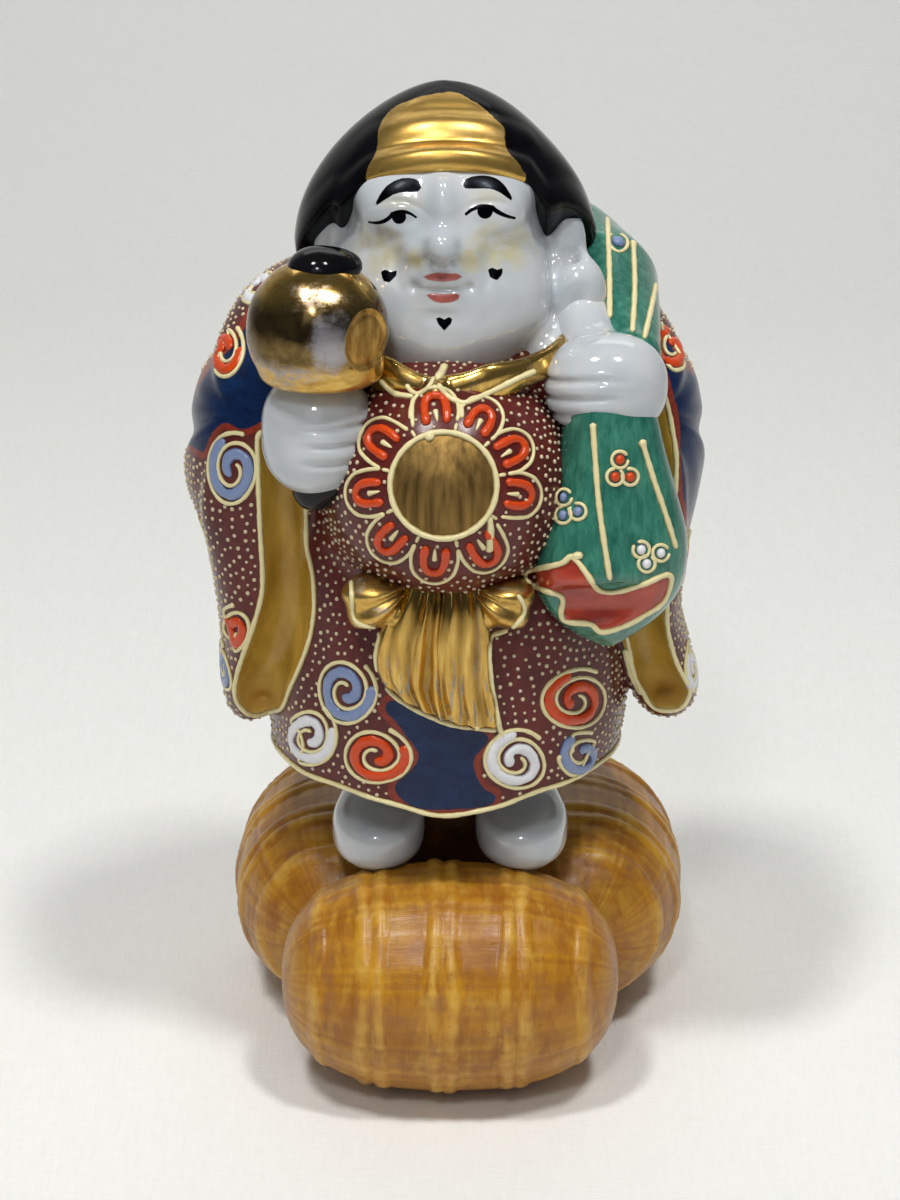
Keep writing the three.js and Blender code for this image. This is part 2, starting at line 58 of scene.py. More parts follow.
MM = (highest.z - lowest.z) / CASTING_HEIGHT

BALE_RADIUS = 27.6
BALE_LENGTH = 82.0
BALE_END_ROUNDNESS = 2.5
BALE_AXIS = 28.1 - SOLE
BALE_FLAT = -SOLE
BALE_RINGS = 158
BALE_SPOKES = 132
BALES = {"front": (0.0, -33.5, 0.0), "left": (-28.0, 25.0, 90.0), "right": (32.4, 25.0, 90.0)}
ROPE_BANDS = (-18.8, -1.6, 15.6)
ROPE_PITCH = 4.0
ROPE_PROUD = 1.0
END_ROPE = 32.0

# The unevenness of lines that are trailed by hand.
rng = np.random.default_rng(7)


# Layout. Painted work is laid out on a flat sheet that stands across the line of sight of someone looking at
# the ornament's middle. Its numbers are millimetres across and up from that line.
class Sheet:
    AIM = np.array([0.0, 0.0, 115.0 - SOLE])
    REACH = 700.0

    def __init__(self, azimuth, rise):
        a, e = math.radians(azimuth), math.radians(rise)
        self.towards = np.array([math.sin(a) * math.cos(e), -math.cos(a) * math.cos(e), math.sin(e)])
        self.across = np.array([math.cos(a), math.sin(a), 0.0])
        self.up = np.cross(self.towards, self.across)
        self.eye = self.AIM + self.towards * self.REACH

    def laid_out(self, points):
        """Where points of the figure lie on the sheet."""
        sight = points - self.eye
        scale = self.REACH / (sight @ -self.towards)
        return np.stack([sight @ self.across, sight @ self.up], 1) * scale[:, None]

    def onto(self, skins, outline):
        """A line on the sheet carried onto the skins, as points and the directions that face out of them."""
        hits = []
        for across, up in outline:
            spot = self.AIM + self.across * across + self.up * up
            way = Vector(spot - self.eye).normalized()
            place, facing, _, _ = skins.ray_cast(Vector(self.eye), way)
            if place is not None:
                hits.append((place, facing))
        return np.array([h[0] for h in hits]), np.array([h[1] for h in hits])


FRONT = Sheet(0, 20)
BACK = Sheet(180, 5)
MALLET_SIDE = Sheet(-90, 5)
SACK_SIDE = Sheet(90, 5)


def flowing(corners, step, closed=False):
    """A smooth line through a few corners, as evenly spaced points."""
    p = np.array(corners, float)
    ends = (p[-1:], p[:2]) if closed else (2 * p[:1] - p[1:2], 2 * p[-1:] - p[-2:-1])
    p = np.concatenate([ends[0], p, ends[1]])
    t = np.linspace(0, 1, 12, endpoint=False)[:, None]
    runs = []
    for a, b, c, d in zip(p, p[1:], p[2:], p[3:]):
        runs.append(b + 0.5 * t * (c - a + t * (2 * a - 5 * b + 4 * c - d + t * (3 * (b - c) + d - a))))
    return spaced(np.concatenate(runs + [p[-2:-1]]), step)


def spaced(line, step):
    """The same line as points about a step apart."""
    gone = np.concatenate([[0], np.cumsum(np.linalg.norm(np.diff(line, axis=0), axis=1))])
    count = max(2, round(gone[-1] / step)) + 1
    at = np.linspace(0, gone[-1], count)
    return np.stack([np.interp(at, gone, line[:, k]) for k in range(line.shape[1])], 1)


def within(corners, spots, smooth=True):
    """How far inside a closed outline each spot of a sheet lies, in millimetres, and below zero outside."""
    line = flowing(corners, 1.5, closed=True) if smooth else np.array(list(corners) + [corners[0]], float)
    nearest = np.full(len(spots), 1e9)
    inside = np.zeros(len(spots), bool)
    for a, b in zip(line, line[1:]):
        side, gap = b - a, spots - a
        t = np.clip(gap @ side / max(side @ side, 1e-9), 0, 1)
        nearest = np.minimum(nearest, np.linalg.norm(gap - t[:, None] * side, axis=1))
        spans = (a[1] > spots[:, 1]) != (b[1] > spots[:, 1])
        rise_of = side[1] if abs(side[1]) > 1e-9 else 1e-9
        inside ^= spans & (spots[:, 0] < a[0] + (spots[:, 1] - a[1]) * side[0] / rise_of)
    return np.where(inside, nearest, -nearest)


# Forms. A form is a function of an array of points that is below zero inside the form, above zero outside,
# and near the distance in millimetres close to its surface.


def power_norm(a, b, power):
    """The length of two sides at right angles, which grows squarer the more its power is above 2."""
    return (np.abs(a) ** power + np.abs(b) ** power) ** (1.0 / power)


def ball(centre, radii, profile=2.0):
    """An ellipsoid, whose sides stand straighter the more its profile is above 2."""
    c, r = np.array(centre, float), np.array(radii, float)

    def form(p):
        q = (p - c) / r
        plan = np.hypot(q[:, 0], q[:, 1])
        size = np.maximum(power_norm(plan, q[:, 2], profile), 1e-6)
        plan_slope = np.where(plan > 1e-9, (plan / size) ** (profile - 1) / np.maximum(plan, 1e-9), 0)
        slope = np.sqrt(
            (plan_slope * q[:, 0] / r[0]) ** 2
            + (plan_slope * q[:, 1] / r[1]) ** 2
            + ((np.abs(q[:, 2]) / size) ** (profile - 1) / r[2]) ** 2
        )
        return (size - 1) / np.maximum(slope, 1e-4)

    return form


def along(rows, at):
    """A smooth curve through rows of numbers, looked up by the first number in each row."""
    rows = np.array(rows, float)
    x, y = rows[:, 0], rows[:, 1:]
    slope = np.empty_like(y)
    slope[1:-1] = (y[2:] - y[:-2]) / (x[2:] - x[:-2])[:, None]
    slope[0] = (y[1] - y[0]) / (x[1] - x[0])
    slope[-1] = (y[-1] - y[-2]) / (x[-1] - x[-2])
    i = np.clip(np.searchsorted(x, at, "right") - 1, 0, len(x) - 2)
    span = x[i + 1] - x[i]
    t = np.clip((at - x[i]) / span, 0, 1)[:, None]
    span = span[:, None]
    return (
        y[i] * (2 * t**3 - 3 * t**2 + 1)
        + slope[i] * span * (t**3 - 2 * t**2 + t)
        + y[i + 1] * (3 * t**2 - 2 * t**3)
        + slope[i + 1] * span * (t**3 - t**2)
    )


def column(rows, roundness=2.2, turn=0.0, pivot=(0.0, 0.0)):
    """A standing form. Each row is a height, and there the middle, half the width, the front and the back."""
    bottom, top = rows[0][0], rows[-1][0]
    cos, sin = math.cos(turn), math.sin(turn)

    def form(p):
        x = pivot[0] + (p[:, 0] - pivot[0]) * cos + (p[:, 1] - pivot[1]) * sin
        y = pivot[1] - (p[:, 0] - pivot[0]) * sin + (p[:, 1] - pivot[1]) * cos
        middle, half, front, back = along(rows, np.clip(p[:, 2], bottom, top)).T
        deep = (back - front) / 2
        qx, qy = (x - middle) / half, (y - front - deep) / deep
        size = np.maximum(power_norm(qx, qy, roundness), 1e-6)
        slope = np.hypot(
            (np.abs(qx) / size) ** (roundness - 1) / half, (np.abs(qy) / size) ** (roundness - 1) / deep
        )
        past = np.maximum(bottom - p[:, 2], p[:, 2] - top)
        return np.maximum((size - 1) / np.maximum(slope, 1e-4), past)

    return form


def limb(start, end, start_radius, end_radius):
    """A round bar with rounded ends that may taper."""
    a, axis = np.array(start, float), np.array(end, float) - np.array(start, float)

    def form(p):
        t = np.clip((p - a) @ axis / (axis @ axis), 0, 1)
        away = np.linalg.norm(p - a - t[:, None] * axis, axis=1)
        return away - start_radius - (end_radius - start_radius) * t

    return form


def blend_low(a, b, fillet):
    """The lesser of two distances, with a fillet where they are alike."""
    near = np.maximum(fillet - np.abs(a - b), 0) / fillet
    return np.minimum(a, b) - near * near * fillet / 4


def melt(fillet, *forms):
    """Forms joined, with a fillet between them."""
    def form(p):
        whole = forms[0](p)
        for other in forms[1:]:
            whole = blend_low(whole, other(p), fillet)
        return whole

    return form


def hollowed(rounding, form, *hollows):
    """A form with others cut out of it, over a rounded edge."""
    def cut(p):
        d = form(p)
        for hollow in hollows:
            d = -blend_low(-d, hollow(p), rounding)
        return d

    return cut


def carved(form, relief):
    """A form that stands out by its relief and is cut in where that is below zero."""
    return lambda p: form(p) - relief(p)


def leaned(form, centre, angle):
    """A form leaned back about its centre."""
    c = np.array(centre, float)
    turn = np.array(Matrix.Rotation(angle, 3, "X"))
    return lambda p: form((p - c) @ turn.T + c)


def bump(distance, width):
    """1 at no distance, and fading to 0 beyond the width."""
    return np.exp(-((distance / width) ** 2))


def rise(value, width=1.0):
    """0 well below zero and 1 well above it."""
    return 1 / (1 + np.exp(np.clip(-value / width, -60, 60)))


# Skins. A form becomes a mesh with one point in each small cell that its surface passes through, drawn onto
# the surface itself. Blocks of cells that are far from the surface are never looked at.

BLOCK = 8
SLOPE_STEP = 0.05


def skin(form, low, high, cell):
    """The form's surface between two corners, as points and four-sided faces."""
    block = BLOCK
    low = np.array(low, float)
    count = np.ceil((np.array(high, float) - low) / cell / block).astype(int) + 1
    grid = np.stack(np.meshgrid(*[np.arange(n) for n in count], indexing="ij"), -1).reshape(-1, 3)
    centre = low + (grid * block + (block - 1) / 2) * cell
    d = form(centre)
    near = np.abs(d) < (block * 0.87 + 2) * cell * 1.7
    shape = count * block
    field = np.repeat(np.repeat(np.repeat(d.reshape(count), block, 0), block, 1), block, 2).astype(np.float32)
    step = np.stack(np.meshgrid(*[np.arange(block)] * 3, indexing="ij"), -1).reshape(-1, 3)
    at = (grid[near][:, None] * block + step[None]).reshape(-1, 3)
    field[at[:, 0], at[:, 1], at[:, 2]] = form(low + at * cell)
    inside = field < 0
    stride = np.array([shape[1] * shape[2], shape[2], 1])
    cells, points, faces = [], [], []
    for axis in range(3):
        b, c = (axis + 1) % 3, (axis + 2) % 3
        head = [slice(None)] * 3
        tail = [slice(None)] * 3
        head[axis], tail[axis] = slice(0, -1), slice(1, None)
        edge = np.argwhere(inside[tuple(head)] != inside[tuple(tail)])
        edge = edge[(edge[:, b] > 0) & (edge[:, c] > 0)]
        ahead = edge.copy()
        ahead[:, axis] += 1
        f0, f1 = field[tuple(edge.T)], field[tuple(ahead.T)]
        crossing = edge.astype(float)
        crossing[:, axis] += f0 / (f0 - f1)
        ring = []
        for db, dc in ((0, 0), (1, 0), (1, 1), (0, 1)):
            around = edge.copy()
            around[:, b] -= db
            around[:, c] -= dc
            ring.append(around @ stride)
            cells.append(ring[-1])
            points.append(crossing)
        quad = np.stack(ring, 1)
        faces.append(np.where((f0 < 0)[:, None], quad, quad[:, ::-1]))
    names, place = np.unique(np.concatenate(cells), return_inverse=True)
    crossing = np.concatenate(points)
    hits = np.bincount(place)
    verts = np.stack([np.bincount(place, crossing[:, k]) for k in range(3)], 1) / hits[:, None]
    verts = low + verts * cell
    quads = np.searchsorted(names, np.concatenate(faces))
    for _ in range(3):
        d, slope = form(verts), gradient(form, verts)
        move = slope * (d / np.maximum((slope * slope).sum(1), 0.05))[:, None]
        reach = np.linalg.norm(move, axis=1, keepdims=True)
        verts = verts - move * np.minimum(1, cell / np.maximum(reach, 1e-9))
    return verts, quads


def gradient(form, points):
    """How a form rises at each point."""
    slope = np.empty_like(points)
    for k in range(3):
        shift = np.zeros(3)
        shift[k] = SLOPE_STEP
        slope[:, k] = (form(points + shift) - form(points - shift)) / (2 * SLOPE_STEP)
    return slope


def made_mesh(name, points, faces, marks):
    """A piece from points in figure millimetres, with a number on each point for each mark."""
    mesh = bpy.data.meshes.new(name)
    mesh.from_pydata(((points - CASTING_MIDDLE) * MM).tolist(), [], [list(f) for f in faces])
    mesh.polygons.foreach_set("use_smooth", np.ones(len(mesh.polygons), bool))
    for mark, values in marks.items():
        layer = mesh.attributes.new(mark, "FLOAT", "POINT")
        layer.data.foreach_set("value", np.asarray(values, np.float32))
    mesh.update()
    piece = bpy.data.objects.new(name, mesh)
    bpy.context.scene.collection.objects.link(piece)
    return piece


def belongs(piece, finish, slot):
    """The piece is part of the casting: it has its finish, rides with the body and stands for the solid."""
    piece.data.materials.clear()
    piece.data.materials.append(finish)
    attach(piece, "root")
    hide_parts("daikoku_figure")
    return piece


# The figure. The forms are the casting's own, with the finer modelling that its glaze shows.

CAP_TILT = 0.84
CAP_EDGE = 152.3
CAP_LEAN = math.atan(CAP_TILT)
RIM_PLACES = (-36, -31, -27, -25, -23, -20, -18, 18, 20, 22, 24, 26, 30, 34)
RIM_HEIGHTS = (-7.5, -5.6, -3, -4.6, -3.5, -1, 0, 0, -3, -6, -4.8, -2.4, -0.3, 0.5)
FACE_MIDDLE = -1.8


def over_rim(p):
    """Height over the cap's rim, which leans back and has a point at each temple with the ear beside it."""
    line = along(np.stack([RIM_PLACES, RIM_HEIGHTS], 1), np.clip(p[:, 0], -36, 34))[:, 0]
    return (p[:, 2] - CAP_EDGE + CAP_TILT * p[:, 1] - line) * math.cos(CAP_LEAN)


def cap_rolls(p):
    """A thick roll over the brow, two soft creases above it, and shallow dents round the crown."""
    x, y, z = p.T
    over = over_rim(p) / math.cos(CAP_LEAN)
    brow = bump(x, 19) * rise(-y, 1.5)
    creases = bump(x, 15) * rise(-y, 1.5) * (0.5 * bump(over - 17, 2.6) - 0.35 * bump(over - 22.5, 2))
    dents = 0.35 * np.cos(4 * np.arctan2(y, x) + 0.12 * z) * rise(over - 14, 3) * rise(182 - z, 3)
    return brow * (1.9 * bump(over - 4.5, 3.6) - 1.1 * bump(over - 10.5, 2.4)) + creases + dents


def before_ears(p):
    """Below zero in front of the ears."""
    return p[:, 1] - 3


cap_under_at = [-1.0, 3.5, CAP_EDGE - CAP_TILT * 3.5]
cap = melt(
    1.2,
    hollowed(1.4, carved(ball([-1, 2, 151], [35.5, 34.5, 36.7], 1.65), cap_rolls), over_rim),
    hollowed(2, leaned(ball(cap_under_at, [34.2, 38, 10]), cap_under_at, CAP_LEAN), before_ears),
)


def on_face(across, y, z):
    """A place given across from the middle of the face."""
    return [FACE_MIDDLE + across, y, z]


def pair(place, radii):
    """The same ball on each side of the face."""
    return [ball(place(side), radii) for side in (1, -1)]


def features(p):
    """Soft creases from the nose round the mouth, under the eyes and over the chin, and the parted lips."""
    x, y, z = p[:, 0] - FACE_MIDDLE, p[:, 1], p[:, 2]
    front = rise(-y - 12, 1.5)
    side = np.abs(x)
    smile = np.hypot((side - 3.2) / 7.4, (z - 150) / 7.2)
    lips_part = -0.55 * bump(z - 145.8 - 0.012 * x * x, 0.55) * bump(x, 4.4)
    corner = -0.7 * bump(np.hypot(side - 6.3, z - 146.6), 1.3)
    cheek_line = -0.35 * bump((smile - 1) * 7, 1.2) * rise(156 - z, 1.5) * rise(z - 146, 1.5)
    cheek_line *= rise(side - 3, 0.8)
    below_lip = -0.3 * bump(z - 140, 1.8) * bump(x, 5.5)
    nostril = -0.5 * bump(np.hypot(side - 2.8, z - 152.7), 1.0)
    philtrum = -0.3 * bump(x, 1.0) * bump(z - 150.8, 1.3)
    lid = side - 10.3
    upper_crease = -0.35 * bump(z - 165.4 + 0.05 * lid * lid, 0.6) * bump(lid, 5)
    under_eye = 0.35 * bump(z - 159 - 0.04 * lid * lid, 1.5) * bump(lid, 4.5)
    neck = -0.8 * bump(z - 124 - 0.01 * x * x, 1.6) * rise(-y - 4, 2)
    parts = lips_part + corner + cheek_line + below_lip + nostril + philtrum + upper_crease + under_eye
    return front * parts + neck


skull = ball([-1.4, -3, 147], [24.4, 25.5, 27], 2.2)
cheeks = pair(lambda side: on_face(side * 12, -17, 140), [12, 11, 12])
chin = ball(on_face(1.5, -18.5, 131), [13, 10.5, 9.5])
nose = [
    ball(on_face(0, -29, 156), [4.2, 4.6, 4]),
    ball(on_face(0.2, -24.2, 162), [3, 4.2, 8]),
    *pair(lambda side: on_face(side * 5.2, -26.0, 154.6), [3.4, 3.3, 2.9]),
]
eyelids = pair(lambda side: on_face(side * 10.5, -20.2, 162.5), [6.4, 4.6, 4.4])
brow = ball(on_face(0.5, -11.5, 166.5), [22.5, 12, 8])
lips = [ball(on_face(0, -27.2, 148.3), [5.2, 1.9, 1.7]), ball(on_face(0, -26.6, 143.3), [4.4, 2, 1.8])]
face = melt(7, melt(9, skull, *cheeks, chin), brow, *eyelids)
bare_head = carved(melt(4, face, melt(3, *nose), melt(1.5, *lips)), features)


def ear(side):
    """A long-lobed ear with a hollow in its upper half and a dent in its lobe."""
    whole = melt(
        5, ball([side * 26.8, -5, 151.5], [4.8, 5, 8.4]), ball([side * 29.6, -11, 137], [7, 6.4, 12.4], 2.4)
    )
    return hollowed(
        2.4,
        whole,
        ball([side * 28, -11, 151.5], [2.2, 2.6, 4.4]),
        ball([side * 29.6, -18.2, 139.5], [2.6, 1.8, 4.0]),
    )


# The neck shows under the lobe on the sack's side.
neck = ball([22.5, -14.5, 127.5], [8.5, 9, 8])
head = melt(2.6, bare_head, ear(-1), ear(1), neck)

MALLET = np.array([-29.6, -38.0, 139.2])
MALLET_RADIUS = 16.0
MALLET_END = 7.2
MALLET_HALF = math.sqrt(MALLET_RADIUS**2 - MALLET_END**2)
MALLET_WAY = np.array([0.76, -0.64, 0.0]) / math.hypot(0.76, 0.64)


def past_end(side):
    return lambda p: MALLET_HALF - side * ((p - MALLET) @ MALLET_WAY)


MALLET_FOOT = 127.2


def mallet_lines(p):
    """A fine raised line round each flat end, and a soft unevenness from the modelling tool."""
    along_it = (p - MALLET) @ MALLET_WAY
    round_it = np.linalg.norm(p - MALLET - along_it[:, None] * MALLET_WAY, axis=1)
    rim = 0.45 * bump(round_it - MALLET_END + 0.3, 0.5) - 0.3 * bump(round_it - MALLET_END + 1.5, 0.6)
    x, y, z = p.T
    uneven = 0.12 * np.sin(0.5 * x + 0.2 * z) * np.sin(0.37 * z - 0.3 * y)
    return rim * rise(np.abs(along_it) - 12, 0.4) + uneven


def under_foot(p):
    return p[:, 2] - MALLET_FOOT


barrel = carved(hollowed(0.8, ball(MALLET, [MALLET_RADIUS] * 3), past_end(1), past_end(-1)), mallet_lines)
ledge = ball([-28.9, -38.5, 130.6], [14, 13.6, 4.4], 3)
mallet = hollowed(0.8, melt(1.2, barrel, ledge), under_foot)
handle_top = melt(2, ball([-29, -38, 152.8], [7.2, 7.2, 5.2]), ball([-24.6, -36.5, 153.2], [5.2, 5.4, 3.6]))
handle_foot = melt(3, ball([-28, -37.5, 104.5], [8, 7, 6]), ball([-31, -37.5, 100.5], [4.6, 4.4, 4]))


FINGER = 4.1


def fist(middle, radii, profile, knuckles_at, towards, bow):
    """A closed hand, with rounded fingers side by side that bow over its front."""
    mx, my, mz = middle

    def fingers(p):
        x, y, z = p.T
        level = (z - mz + bow * (x - mx) ** 2) / FINGER
        held = rise((x - knuckles_at) * towards, 1.0) * rise(my + 5 - y, 1.0)
        held *= rise(1.6 - np.abs(level), 0.12)
        groove = np.cos(math.pi * level) ** 4
        return held * (0.25 - 0.8 * groove)

    return carved(ball(middle, radii, profile), fingers)


mallet_fist = fist([-30, -35.5, 114.5], [12.9, 13, 14], 2.5, -31, 0.7, 0.004)
sack_hand = fist([35.6, -30.5, 124], [14, 12, 12], 2.3, 36, -0.5, 0.011)
sack_fist = melt(3, sack_hand, limb([31, -13, 134], [32.8, -21, 130], 7.2, 6.8))

HEM = 22.0
HEM_POINT = 4.6


def over_hem(p):
    """Height over the robe's lower edge, which dips to a point in front."""
    return p[:, 2] - HEM - HEM_POINT * (1 - bump(p[:, 0], 16) * rise(4 - p[:, 1], 4))


robe_rows = [
    (8, -1, 39.6, -41, 34),
    (22, -1.2, 42, -44, 37),
    (40, -0.5, 44, -46, 39),
    (60, -0.2, 44.3, -45, 40),
    (80, 0, 43.5, -42, 40),
    (100, 0, 43, -36, 40),
    (118, 0, 41, -30, 37),
    (132, 0, 35, -25, 32),
    (142, 0, 25, -18, 24),
    (148, 0, 12, -8, 12),
]
CLOTH_THICKNESS = 3.4
inside_rows = [
    (z, middle, half - CLOTH_THICKNESS, front + CLOTH_THICKNESS, back - CLOTH_THICKNESS)
    for z, middle, half, front, back in robe_rows
]


def robe_folds(p):
    """Soft folds down the back, and shallow ones that fall from under the belly."""
    x, y, z = p.T
    behind = rise(84 - z, 9) * rise(y - 14, 4) * np.cos(2 * math.pi * x / 19)
    below = rise(70 - z, 5) * rise(-y - 16, 4) * np.cos(2 * math.pi * (x + 0.12 * z) / 15.5)
    return behind + 0.35 * below


belly = melt(4, ball([-1, -27, 103.5], [28.5, 30, 26]), ball([-1, -26.5, 98.5], [28.2, 29.6, 24], 2.3))
skirt = carved(column(robe_rows, 2), robe_folds)
inside_skirt = column(inside_rows, 2)


def under_skirt(p):
    return np.maximum(inside_skirt(p), over_hem(p) - 6)


body = hollowed(1.4, melt(4, skirt, belly), over_hem, under_skirt)


def sleeve_folds(p):
    """Folds that fan out from the elbow."""
    x, y, z = p.T
    away = np.hypot(y + 26, z - 116)
    angle = np.arctan2(116 - z, y + 26)
    outside = rise(np.abs(x) - 44, 2)
    fine = 0.25 * np.cos(angle * 17 + 1.5) * bump(away - 24, 14)
    return outside * (0.9 * np.cos(angle * 9 - 0.8) * bump(away - 34, 22) + fine)


mallet_sleeve_rows = [
    (34, -49, 4, -12, 2),
    (38, -48, 7, -17, 7),
    (44, -47, 8.6, -21, 12),
    (52, -45.5, 10.2, -24, 18),
    (62, -44, 12.4, -27, 24),
    (78, -43, 16, -29, 28),
    (92, -42.5, 20, -30, 31),
    (104, -41.5, 21, -30, 33),
    (116, -38, 21.7, -29, 33),
    (126, -33, 22.4, -26, 31),
    (136, -27, 22, -15, 28),
    (143, -20, 20, -6, 22),
    (147, -14, 12, -1, 14),
]
mallet_mouth_rows = [
    (37, -46, 2, -26, -4),
    (41, -46, 5, -31, -9),
    (48, -44.8, 6.2, -34, -14),
    (55, -42.5, 6.6, -36, -18),
    (64, -39.6, 6.4, -38, -21.5),
    (74, -38, 5.7, -40, -24),
    (90, -38.3, 5.5, -41, -25),
    (112, -38.8, 5.3, -41, -25),
]
sack_sleeve_rows = [
    (34, 53, 4.5, -10, 3),
    (38, 52.8, 7.4, -15, 8),
    (44, 51.4, 9, -19, 13),
    (52, 48.6, 10, -22, 18),
    (62, 45.4, 11, -25, 24),
    (78, 43, 15, -28, 28),
    (92, 41.5, 18, -30, 31),
    (104, 40, 20.6, -30, 33),
    (114, 37.5, 21.6, -29, 33),
    (124, 34, 22, -26, 31),
    (134, 27, 21.5, -14, 28),
    (142, 20, 19, -4, 22),
    (147, 14, 12, 0, 14),
]
sack_mouth_rows = [
    (38, 53, 2.5, -24, -3),
    (42, 52.5, 5.6, -29, -7),
    (47, 50, 6.2, -32, -11),
    (54, 47.8, 5.6, -34, -15),
    (64, 46, 5.6, -36, -19),
    (80, 46.4, 5.6, -37, -22),
    (100, 47.4, 5.6, -38, -23),
    (116, 47.6, 5.4, -38, -23),
    (127, 44, 4.6, -36, -22),
]
mallet_mouth, sack_mouth_of_sleeve = column(mallet_mouth_rows, 2), column(sack_mouth_rows, 2)
mallet_sleeve = carved(column(mallet_sleeve_rows), sleeve_folds)
sack_sleeve = carved(column(sack_sleeve_rows), sleeve_folds)
cloth = hollowed(1.2, melt(1.6, body, mallet_sleeve, sack_sleeve), mallet_mouth, sack_mouth_of_sleeve)

KNOT = np.array([-3.0, -41.2, 124.8])


def collar_height(x, y):
    """Height of the collar's middle line, which dips at the knot."""
    return 127.4 + 0.1 * (y - KNOT[1]) - 4.4 * bump(np.hypot(x - KNOT[0], y - KNOT[1]), 15)


def collar_band(p):
    """A rounded band round the neck that dips to the knot, with a crease along it."""
    x, y, z = p.T
    out = (np.hypot((x - 1) / 26, (y + 14) / 25.5) - 1) * 25.7
    up = z - collar_height(x, y)
    crease = 0.35 * bump(up - 0.6 - 0.05 * (x - KNOT[0]), 1.2) * rise(out, 0.4)
    tall = 3.4 + 2.2 * bump(np.abs(x - KNOT[0]) - 8, 8)
    return (np.hypot(out / 2.3, (up - 0.5) / tall) - 1) * 2.5 + crease


def collar_lobes(p):
    x = p[:, 0]
    return 0.2 * np.cos(0.5 * x + 0.1 * p[:, 2] + 0.6) * bump(x - KNOT[0], 16)


collar = melt(1.2, carved(collar_band, collar_lobes), ball(KNOT, [3.2, 2.8, 3.4]))

sash_rows = [
    ((-15.6, 57.6), (11.6, 46.4), -48),
    ((-17, 62), (10, 54), -49),
    ((-16.6, 68), (9.4, 64), -49.2),
    ((-14, 76), (8.6, 75), -48.6),
    ((-12, 82), (7.6, 82), -46),
]


def sash_loop(middle, radii, way):
    """One loop of the sash: a soft drooping fold with gathers that spread from the knot."""
    mx, my, mz = middle

    def folds(p):
        x, y, z = p.T
        ray = np.arctan2(z - mz - 5, (x - mx) * way + 10)
        return 0.55 * np.cos(ray * 14 + 2.4) * rise(my + 3 - y, 1.5)

    return carved(ball(middle, radii, 2.6), folds)


sash_loops = melt(
    1.5,
    sash_loop([-17, -43.5, 76.9], [7.4, 7, 6.6], -1),
    sash_loop([12.2, -43.5, 76.6], [6.8, 7, 6.2], 1),
)

sack_skirt_rows = [
    (64, 33.5, 2.5, -40, -28),
    (67, 34, 8, -43, -27),
    (71, 34.4, 13, -45.5, -25.5),
    (76, 34.4, 16.6, -47.5, -25),
    (82, 34.4, 17.8, -49, -25),
    (90, 35, 17.2, -48, -25),
    (101, 35.6, 14, -46, -25),
    (112, 35.4, 11.6, -44, -25),
    (122, 35, 10, -42, -24),
]
SACK_TURN = 0.36
sack_mouth = ball([36, -49, 76], [17, 5, 7])


def sack_gathers(p):
    """Soft gathers that fan down from the fist, and up from it over the shoulder."""
    x, y, z = p.T
    angle = np.arctan2(x - 35.5, np.abs(z - 124) + 14)
    front = rise(-y - 30, 2) * bump(z - 98, 20) * rise(109 - z, 2)
    behind = bump(np.hypot(z - 128, y + 12), 26) * rise(y + 24, 4)
    return 0.45 * front * np.cos(angle * 16 + 0.6) + 0.5 * behind * np.cos(angle * 13)


sack_front = hollowed(1, column(sack_skirt_rows, 2.3, SACK_TURN, (35, -30)), sack_mouth)
sack_bulk = melt(6, ball([22, 25, 119], [30, 24, 38]), limb([40.5, -20, 127], [35, 12, 136], 8.5, 15))
sack = carved(melt(1.5, sack_front, sack_bulk), sack_gathers)


def boot(side):
    """A boot with a broad square toe, a dished instep and a leg that narrows at the ankle."""
    foot = ball([side * 17.6, -15.4, 7.6], [11.4, 17.2, 7.8], 3)
    leg = column([
        (6, side * 18.4, 7.2, -15, 6), (13, side * 18.4, 7.2, -15.4, 7), (18, side * 18.4, 7.6, -17, 7),
        (24, side * 18.4, 9.6, -19, 8), (34, side * 18, 11.6, -20, 8),
    ])
    dish = ball([side * 15.6, -23.5, 17.6], [8.4, 8.6, 4.6])

    def modelled(p):
        x, y, z = p.T
        return -0.4 * bump(z - 2.2, 0.5) * rise(-y - 8, 2)

    return carved(hollowed(4, melt(4, foot, leg), dish), modelled)


# A mound that fills the gap between the boots over the bales; its dark brown finish is painted shade.
core = ball([0, 10, 6], [24, 22, 30], 3)

skins = {
    "cap": skin(cap, (-40, -42, 112), (38, 46, 192), 0.85),
    "head": skin(head, (-39, -38, 114), (39, 28, 180), 0.52),
    "mallet": skin(mallet, (-48, -57, 124), (-11, -19, 158), 0.6),
    "handle_top": skin(handle_top, (-39, -48, 145), (-17, -28, 161), 0.5),
    "handle_foot": skin(handle_foot, (-39, -47, 94), (-17, -28, 113), 0.5),
    "mallet_fist": skin(mallet_fist, (-45, -51, 98), (-15, -20, 131), 0.52),
    "sack_fist": skin(sack_fist, (19, -45, 109), (52, -5, 144), 0.55),
    "robe": skin(cloth, (-68, -62, 14), (66, 46, 152), 1.0),
    "collar": skin(collar, (-29, -44, 114), (31, 15, 144), 0.62),
    "sash_loops": skin(sash_loops, (-26, -53, 67), (21, -34, 86), 0.5),
    "sack": skin(sack, (-12, -56, 61), (60, 52, 160), 0.9),
    "boot_left": skin(boot(-1), (-32, -38, -3), (-5, 5, 41), 0.8),
    "boot_right": skin(boot(1), (5, -38, -3), (32, 5, 41), 0.8),
    "core": skin(core, (-27, -15, -27), (27, 35, 39), 1.6),
}


# Bales and sash tail, which are laid out by rule.


def straw_at(x):
    """The bale's radius along its length, without its ropes."""
    return BALE_RADIUS * np.maximum(1 - (np.abs(x) / (BALE_LENGTH / 2)) ** BALE_END_ROUNDNESS, 0) ** (
        1 / BALE_END_ROUNDNESS
    )


